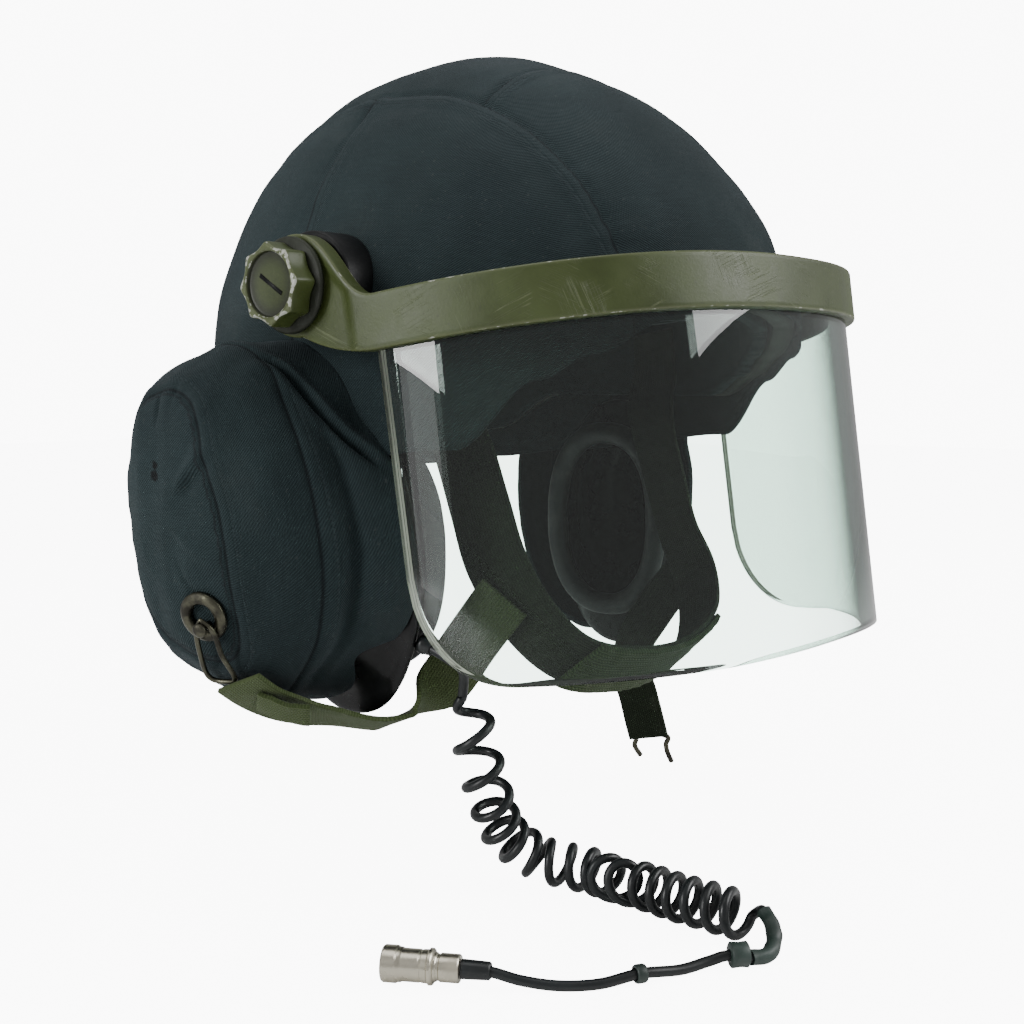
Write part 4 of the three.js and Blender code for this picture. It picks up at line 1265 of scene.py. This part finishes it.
def metal_finish(name, bright, dull, rough, grain=260.0, tarnish=(0.45, 0.65)):
    made, board, shader = material(name)
    place_at = board.place()
    worn = board.between(board.noise(place_at, grain, 4.0, 0.6), *tarnish)
    board.feed(board.mix(worn, bright, dull), shader.inputs["Base Color"])
    board.feed(board.between(worn, 0, 1, rough, rough + 0.22), shader.inputs["Roughness"])
    board.feed(board.between(worn, 0, 1, 1.0, 0.75), shader.inputs["Metallic"])
    board.feed(board.bump(board.noise(place_at, 1800.0, 3.0), 0.00004), shader.inputs["Normal"])
    return made


# Centres and sizes in metres of two holes in the right ear cover, each painted as a spot of painted shade
HOLES = [(Vector((-0.1795, 0.0230, -0.1630)), 0.0024), (Vector((-0.1795, 0.0235, -0.1672)), 0.0032)]
cover_cloth = twill_finish("navy_twill", cover_seams)
ear_cloth = twill_finish("navy_twill_ears", ear_seams, 0.8, HOLES)
lining_cloth = twill_finish("dark_lining", dusty=0.3)
olive = paint_finish("olive_paint", 0.37, 150.0)
# The knob's paint also darkens its recess: painted shade
olive_knob = paint_finish("olive_paint_knob", 0.46, 300.0, 0.85)
clear = clear_finish()
laminate = laminate_edge_finish()
black_gloss = moulded_finish(
    "black_plastic", (0.0012, 0.0014, 0.0016, 1), 0.3, 500.0, 0.00003, 0.02, 0.12, 0.18
)
black_matt = moulded_finish("black_disc", (0.002, 0.0023, 0.0026, 1), 0.5, dusty=0.04, shine=0.2)
rubber = moulded_finish("black_rubber", (0.004, 0.0054, 0.006, 1), 0.36, 900.0, 0.00005, 0.03, shine=0.4)
webbing = webbing_finish("olive_webbing", (0.004, 0.0075, 0.003, 1), (0.022, 0.034, 0.014, 1), 0.06)
# A lighter copy of the olive webbing: painted light, making up for the shade the right hook strap and its
# tail lie in
webbing_painted_lit = webbing_finish(
    "olive_webbing_painted_lit", (0.028, 0.041, 0.013, 1), (0.085, 0.112, 0.045, 1), 0.12
)
webbing_worn = webbing_finish(
    "olive_webbing_worn", (0.014, 0.025, 0.008, 1), (0.062, 0.092, 0.034, 1), 0.16, 0.0017
)
brass = metal_finish("aged_brass", (0.085, 0.083, 0.06, 1), (0.024, 0.022, 0.016, 1), 0.32, 120.0)
nickel = metal_finish("nickel", (0.52, 0.49, 0.40, 1), (0.34, 0.31, 0.24, 1), 0.27, 60.0, (0.42, 0.8))
washer_rubber = moulded_finish("washer_rubber", (0.009, 0.011, 0.006, 1), 0.5, dusty=0.06, shine=0.25)
sleeve_green = moulded_finish("green_sleeve", (0.010, 0.020, 0.016, 1), 0.5, 600.0, 0.00008, 0.08)


# Pieces


def ear_out(y, z):
    """How far out the ear cover stands at a place on its face."""
    low, high = 0.0, 1.0
    for _ in range(30):
        share = (low + high) / 2
        row = row_at(EAR_ROWS, share)
        spread = (abs(y - row["y"]) / max(row["length"], 1e-6)) ** EAR_POWER
        spread += (abs(z - row["z"]) / max(row["height"], 1e-6)) ** EAR_POWER
        if spread > 1:
            low = share
        else:
            high = share
    return row_at(EAR_ROWS, low)["out"] + (1 - low) * FACE_LEAN * (z - EAR_ROWS[0]["z"])


def ear_way(side, y, z):
    step = 3.0
    slope_y = (ear_out(y + step, z) - ear_out(y - step, z)) / (2 * step)
    slope_z = (ear_out(y, z + step) - ear_out(y, z - step)) / (2 * step)
    return Vector((side, -slope_y, -slope_z)).normalized()


def make_dome():
    bm = outward_from(dome_layer(288, 112, 0.0, 0.0, cover_relief), Vector((0, CROWN_BEHIND, -60)))
    cover = piece("cover", bm, cover_cloth)
    wall(cover, 2.0)
    bm = outward_from(dome_layer(96, 40, 3.2, 1.5), Vector((0, CROWN_BEHIND, -60)))
    shell = piece("shell", bm, shell_finish)
    wall(shell, 7.0)
    bm = outward_from(dome_layer(144, 56, 11.2, 1.0, lining_relief), Vector((0, CROWN_BEHIND, -60)))
    lining = piece("lining", bm, lining_cloth)
    wall(lining, 6.0)


def make_ear(side, word):
    bm = outward_from(ear_sheet(ear_cover_place, 256, 112, side, ear_relief), Vector((side * 120, 30, -95)))
    case = piece(f"ear_cover_{word}", bm, ear_cloth)
    wall(case, 3.0)

    def cup_place(share, way, inset=0.0):
        return oval_place(CUP_ROWS, share, way, inset)

    bm = outward_from(ear_sheet(cup_place, 96, 48, side), Vector((side * 110, 10, -110)))
    cup = piece(f"ear_cup_{word}", bm, black_gloss)
    wall(cup, 2.6)
    bm = sheet_grid(96, 24)
    bend = 2 / EAR_POWER
    for vertex in bm.verts:
        way, around = vertex.co.x * 2 * math.pi, vertex.co.y * 2 * math.pi
        grow = SEAL["radius"] * 1.15 * math.cos(around)
        y = SEAL["y"] + (SEAL["length"] + grow) * power(math.cos(way), bend)
        z = SEAL["z"] + (SEAL["height"] + grow) * power(math.sin(way), bend)
        out = SEAL["out"] + SEAL["radius"] * math.sin(around)
        out += ripple((math.cos(way) * 9, math.sin(way) * 9, 0), 2, 0.3)
        vertex.co = Vector((side * out, y, z))
    bmesh.ops.remove_doubles(bm, verts=bm.verts, dist=1e-3)
    seal = piece(f"ear_seal_{word}", outward(bm), seal_finish)


def make_visor():
    piece("visor_frame", frame_band(), olive, "visor")
    sheet = piece("visor", visor_sheet(), [clear, laminate], "visor")
    wall(sheet, VISOR["wall"], rim=1)


def make_knobs():
    for side, word in ((-1, "right"), (1, "left")):
        bm = knob_mesh(side)
        knob = piece(f"knob_{word}", bm, olive_knob, f"knob_{word}")
        rounded(knob, 0.25, 2, 30)
        piece(f"knob_slot_{word}", slot_shade_inlay(side), black_matt, f"knob_{word}", False)
        profile = [(0, 0.01), (0, 18.0), (0.5, 18.8), (1.7, 18.8), (2.2, 18.0), (2.2, 0.01)]
        bm = turned(profile, (side * 140.0, 0, 0), (side, 0, 0), 64)
        piece(f"knob_washer_{word}", bm, washer_rubber)
        base = piece(f"pivot_base_{word}", base_disc(side), black_matt)
        rounded(base, 1.2, 3, 40)


def frayed(u, v):
    return ripple((u * 60, v * 9, 2), 2.0, 0.5)


def sway(u, v):
    return ripple((u * 14, v * 2.0, 0), 2.2, 0.7)


def flat_strap(name, rows, width, finish, relief=sway, lift=0.0, thickness=WEBBING, start=0.0, end=1.0):
    bm = strap(rows, width, relief, lift, start, end)
    thing = piece(name, outward(bm), finish)
    wall(thing, thickness, 0)
    rounded(thing, 0.45, 2, 50)


def make_straps():
    flat_strap("chin_strap", CHIN_ROWS, CHIN_WIDTH, webbing)
    flat_strap("chin_cup", CHIN_ROWS[8:15], CUP_WIDTH, webbing_worn, frayed, 3.1, 2.6, 0.1, 0.9)
    # The right hook strap and its tail take the lighter copy of the webbing: painted light
    flat_strap("hook_strap_right", HOOK_RIGHT, HOOK_WIDTH, webbing_painted_lit)
    flat_strap("hook_strap_left", HOOK_LEFT, HOOK_WIDTH, webbing)
    flat_strap("strap_tail_right", TAIL_RIGHT, TAIL_WIDTH, webbing_painted_lit)


BAIL_RIGHT = [
    (18.1, -130.6, 4.4), (14.3, -135.6, 4.4), (15.8, -145.6, 3.6), (16.4, -154.5, 3.4), (18.6, -158, 3.4),
    (26.6, -158.6, 3.4), (28.8, -155.5, 3.4), (25, -146.1, 3.6), (21.6, -136, 4.4),
]
PRONGS = [(-10.5, -27), (-11, -17), (-10, -10.5), (-10, -3), (10, -3), (10, -10.5), (11, -17), (10.5, -27)]
EYELET = (20.5, -130.0)
STUD = (19.0, -133.0)

# Profiles of (height, radius) pairs
EYELET_PROFILE = [
    (-1.5, 5.6), (-1.5, 10.5), (0.2, 10.5), (0.8, 10.0), (1.5, 8.6), (1.6, 7.4), (1.2, 6.2), (0.3, 5.6),
    (-1.5, 5.6),
]
STUD_PROFILE = [
    (-1, 0.01), (-1, 1.4), (5.4, 1.4), (5.6, 2.7), (6.0, 3.0), (6.7, 3.0), (7.3, 2.3), (7.6, 1.1),
    (7.6, 0.01),
]


def make_hooks():
    bail = [(-(ear_out(y, z) + proud), y, z) for y, z, proud in BAIL_RIGHT]
    named(tube("wire_hook_right", bail, 1.1, brass, closed=True), "wire_hook_right")
    prongs = [(96.3 + max(-(z + 17), 0) * 0.5, -20 + y * 0.95, -224 + z * 0.62) for y, z in PRONGS]
    named(tube("wire_hook_left", prongs, 1.4, brass), "wire_hook_left")
    for side, word in ((-1, "right"), (1, "left")):
        way = ear_way(side, *EYELET)
        for name, (y, z), profile, steps in (
            ("eyelet", EYELET, EYELET_PROFILE, 64), ("stud", STUD, STUD_PROFILE, 40)
        ):
            foot = Vector((side * (ear_out(y, z) + 0.3), y, z))
            piece(f"{name}_{word}", turned(profile, foot, way, steps), brass)


def named(thing, node):
    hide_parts(node)
    return thing


# Thickness of the cord and radius of its coil in millimetres, and the heights where the cord and the coil's
# middle lie
CORD = 4.2
COIL = 8.4
LAY = FLOOR_Z + CORD / 2
COIL_LAY = FLOOR_Z + COIL + CORD / 2
LEAD = [(-98, -35.6, -148.1), (-97.5, -43, -151), (-95, -49, -156)]
COIL_AXIS = [
    (-92, -46, -166), (-90, -51, -185), (-86, -54, -206), (-75, -54, -228), (-62, -62, -242),
    (-55, -78, COIL_LAY), (-53, -98, COIL_LAY), (-56, -120, COIL_LAY), (-58, -142, COIL_LAY),
    (-58, -166, COIL_LAY),
]
SLEEVE = [
    (-53, -168.6, -244), (-57, -174.5, -247), (-63, -178.5, -250.5), (-71, -180, -252.6),
    (-77.5, -176.5, -252.6),
]
TAIL = [
    (-84.1, -170.1, LAY + 2.7), (-90, -165, LAY + 1), (-101, -159.5, LAY), (-116, -151.6, LAY + 1.6),
    (-129.4, -143, LAY), (-139.8, -132.6, LAY), (-147.5, -121.5, LAY + 1.5), (-153.6, -112.6, LAY + 4.4),
]
# The last turn stops short, and the cord leaves it upward and over into the sleeve
LAST_TURN_CUT = 7
COIL_OUT = [(-50, -163.6, -246.6), (-51, -166, -244.6)]
# Along the coil's axis in millimetres, and how far one turn reaches there
COIL_PITCH = [(0, 17.5), (18, 18.5), (40, 15.5), (60, 11.5), (80, 11.0), (105, 10.5), (125, 8.6), (195, 8.8)]
COIL_START = 0.1
KINK = {"at": 128.0, "wide": 8.5, "turn": -0.95, "aside": 4.0}


def pitch_at(run):
    for (a, low), (b, high) in zip(COIL_PITCH, COIL_PITCH[1:]):
        if run <= b:
            return low + (high - low) * (run - a) / (b - a)
    return COIL_PITCH[-1][1]


def coil_points():
    """The curly length: a helix about the coil's axis, opened where it hangs and kinked once on the floor."""
    axis = [Vector(p) for p in COIL_AXIS]
    fine = [curve_point(axis, k / 1200) for k in range(1201)]
    points, run, turns = [], 0.0, COIL_START
    across = Vector((0, -1, 0))
    last = fine[0][0]
    step = 0.0
    for p, way in fine:
        move = (p - last).length
        last = p
        run += move
        turns += move / pitch_at(run)
        step += move / pitch_at(run)
        way = way.normalized()
        across = (across - way * across.dot(way)).normalized()
        if step < 1 / 20:
            continue
        step = 0.0
        bump = math.exp(-(((run - KINK["at"]) / KINK["wide"]) ** 2))
        turn = Matrix.Rotation(KINK["turn"] * bump, 3, "Z")
        first, second = turn @ across, turn @ way.cross(across)
        grow = smooth(-4, 16, run) * COIL
        angle = turns * 2 * math.pi
        spot = p + first * (grow * math.cos(angle)) + second * (grow * math.sin(angle))
        spot += Vector((-1, 0, 0)) * (KINK["aside"] * bump)
        spot += Vector((ripple((run, 1, 0), 15, 0.8), ripple((run, 7, 0), 15, 0.8), 0))
        spot.z = max(spot.z, LAY)
        points.append(spot)
    return points


def cord_route():
    route = [Vector((-98, -28.9, -145.9))] + [Vector(p) for p in LEAD]
    route += coil_points()[:-LAST_TURN_CUT] + [Vector(p) for p in COIL_OUT]
    route += [Vector(p) for p in SLEEVE] + [Vector(p) for p in TAIL]
    route.append(Vector((-157, -106.3, AT_END)))
    return route


def make_cord():
    route = cord_route()
    count = len(route) * 3
    shares = even_points(route, count)[0]
    samples = [curve_point(route, s)[0] for s in shares]
    cord = bar_curve("cord", samples, CORD / 2, 5)
    cord.data.materials.append(rubber)
    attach(cord, "helmet")
    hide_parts("cord_coil", "cord_lead", "cord_tail")
    total = sum((b - a).length for a, b in zip(samples, samples[1:])) * MM
    print("cord length", round(total, 4))
    with_pieces = make_cord_fittings()


GLAND = [(0, 0.01), (0, 4.2), (2.5, 4.2), (3.2, 3.7), (6.3, 3.0), (6.3, 2.2)]
SLEEVE_RING = [(0, 2.3), (0, 4.3), (0.5, 5.0), (3.4, 4.7), (6.7, 5.0), (7.2, 4.3), (7.2, 2.3)]
TIE = [(-2, 2.5), (-2, 3.3), (-1.2, 3.6), (1.2, 3.6), (2, 3.3), (2, 2.5)]
BOOT = [(0, 2.2), (0, 2.9), (0.5, 3.4), (9.8, 3.7), (10.4, 3.7), (11, 3.6), (11, 0.01)]
CONNECTOR = [
    (0, 0.01), (0, 4.9), (0.5, 5.3), (7.2, 5.3), (7.6, 4.9), (8.4, 4.9), (8.8, 5.3), (9.4, 5.4), (10, 6.5),
    (10.4, 6.8), (11.4, 6.8), (11.9, 6.2), (14, 6.1), (14.3, 5.9), (14.8, 5.9), (15.1, 6.1), (21.5, 6.1),
    (22, 6.4), (23.2, 6.5), (23.8, 6.9), (28.4, 6.9), (29, 6.5), (29, 5.6), (22, 5.4), (22, 0.01),
]


AT_END = FLOOR_Z + 7


def fitting(name, profile, start, end, steps, finish, sharp=0):
    way = Vector(end) - Vector(start)
    return piece(name, turned(profile, start, way, steps), finish, sharp=sharp)


def cord_sleeve():
    """The soft sleeve at the coil's end, a little uneven, resting on the floor."""
    sleeve = tube("cord_sleeve", SLEEVE, 3.1, sleeve_green, sides=8)
    for vertex in sleeve.data.vertices:
        p = (vertex.co - PIVOT) / MM
        p += Vector((ripple(p, 4.0, 0.5), ripple(p, 5.0, 0.5, 3), ripple(p, 5.0, 0.4, 6)))
        p.z = max(p.z, FLOOR_Z + 0.1)
        vertex.co = p * MM + PIVOT
    return named(sleeve, "cord_sleeve")


def make_cord_fittings():
    """The gland stays on the ear cup. The other fittings go with the cord."""
    fitting("cord_gland", GLAND, (-98, -28.9, -145.9), (-98, -35.2, -148), 40, rubber)
    return [
        cord_sleeve(),
        fitting(
            "cord_sleeve_ring", SLEEVE_RING, (-78.4, -175.6, FLOOR_Z + 5), (-83.8, -170.4, FLOOR_Z + 5),
            40, sleeve_green,
        ),
        fitting(
            "cord_tie", TIE, (-116, -151.6, -252.3), (-129.5, -143.4, -252.3),
            32, sleeve_green,
        ),
        fitting(
            "connector_boot", BOOT, (-154, -111.9, AT_END), (-159.2, -102.2, AT_END),
            40, rubber, 35,
        ),
        fitting(
            "connector", CONNECTOR, (-159.4, -101.9, AT_END), (-173, -76.2, AT_END), 72, nickel, 28
        ),
    ]


shell_finish = moulded_finish("shell", (0.03, 0.034, 0.026, 1), 0.6)
seal_finish = moulded_finish("seal_skin", (0.010, 0.011, 0.012, 1), 0.5, 400.0, 0.0001)

make_dome()
make_ear(-1, "right")
make_ear(1, "left")
make_visor()
make_knobs()
make_straps()
make_hooks()
make_cord()


# Floor, light and camera


# Brightness of the surround where it is seen, and where it only lights the part
WHITE_SEEN = 9.5
WHITE_LIGHT = 0.5
FLOOR_SEEN = 9.0


def seen_straight(board, most):
    """1 where a ray comes from the camera with no reflection on its way, also through the clear visor."""
    path = board.add("LightPath").outputs
    turns_back = board.less(path["Ray Depth"], path["Transmission Depth"])
    return board.math("LESS_THAN", turns_back, most)


def backdrop():
    bm = bmesh.new()
    bmesh.ops.create_grid(bm, x_segments=1, y_segments=1, size=4.0)
    mesh = bpy.data.meshes.new("floor")
    bmesh.ops.translate(bm, verts=bm.verts, vec=(0, 0, FLOOR_Z * MM + PIVOT.z))
    bm.to_mesh(mesh)
    bm.free()
    floor = bpy.data.objects.new("floor", mesh)
    bpy.context.scene.collection.objects.link(floor)
    made, board, shader = material("floor_white", {"Roughness": 0.9, "Specular IOR Level": 0.1})
    tone = board.noise(board.place(), 3.0, 2.0)
    board.feed(board.mix(tone, (0.93, 0.93, 0.93, 1), (0.96, 0.96, 0.96, 1)), shader.inputs["Base Color"])
    board.feed((1, 1, 1, 1), shader.inputs["Emission Color"])
    board.feed(board.times(seen_straight(board, 0.5), FLOOR_SEEN), shader.inputs["Emission Strength"])
    mesh.materials.append(made)


def area_light(name, at, size, power_w, toward=(0, 0, -120), colour=(1, 1, 1)):
    data = bpy.data.lights.new(name, "AREA")
    data.shape = "RECTANGLE"
    data.size, data.size_y = size
    data.energy = power_w
    data.color = colour
    lamp = bpy.data.objects.new(name, data)
    bpy.context.scene.collection.objects.link(lamp)
    lamp.location = place(*at)
    way = place(*toward) - lamp.location
    lamp.rotation_euler = way.to_track_quat("-Z", "Y").to_euler()


def light_up():
    world = bpy.data.worlds.new("studio")
    bpy.context.scene.world = world
    world.use_nodes = True
    back = world.node_tree.nodes["Background"]
    back.inputs["Color"].default_value = (1, 1, 1, 1)
    board = Board(world.node_tree)
    seen = board.times(seen_straight(board, 1.5), WHITE_SEEN)
    board.feed(board.plus(seen, WHITE_LIGHT), back.inputs["Strength"])
    area_light("box_left", (-1350, 350, 340), (0.36, 0.62), 12)
    area_light("strip_left", (-1350, 350, -190), (0.26, 0.5), 0.8)
    area_light("box_front", (640, -1120, 580), (0.95, 0.6), 16)
    area_light("top", (-250, 100, 1200), (0.9, 0.9), 5)


def set_camera():
    data = bpy.data.cameras.new("camera")
    data.lens = CAMERA["lens"]
    data.sensor_width = 36
    data.shift_y = CAMERA["shift"]
    data.clip_start = 0.02
    camera = bpy.data.objects.new("camera", data)
    bpy.context.scene.collection.objects.link(camera)
    camera.location = place(*CAMERA["place"])
    way = place(*CAMERA["target"]) - camera.location
    camera.rotation_euler = way.to_track_quat("-Z", "Y").to_euler()
    bpy.context.scene.camera = camera


backdrop()
light_up()
set_camera()
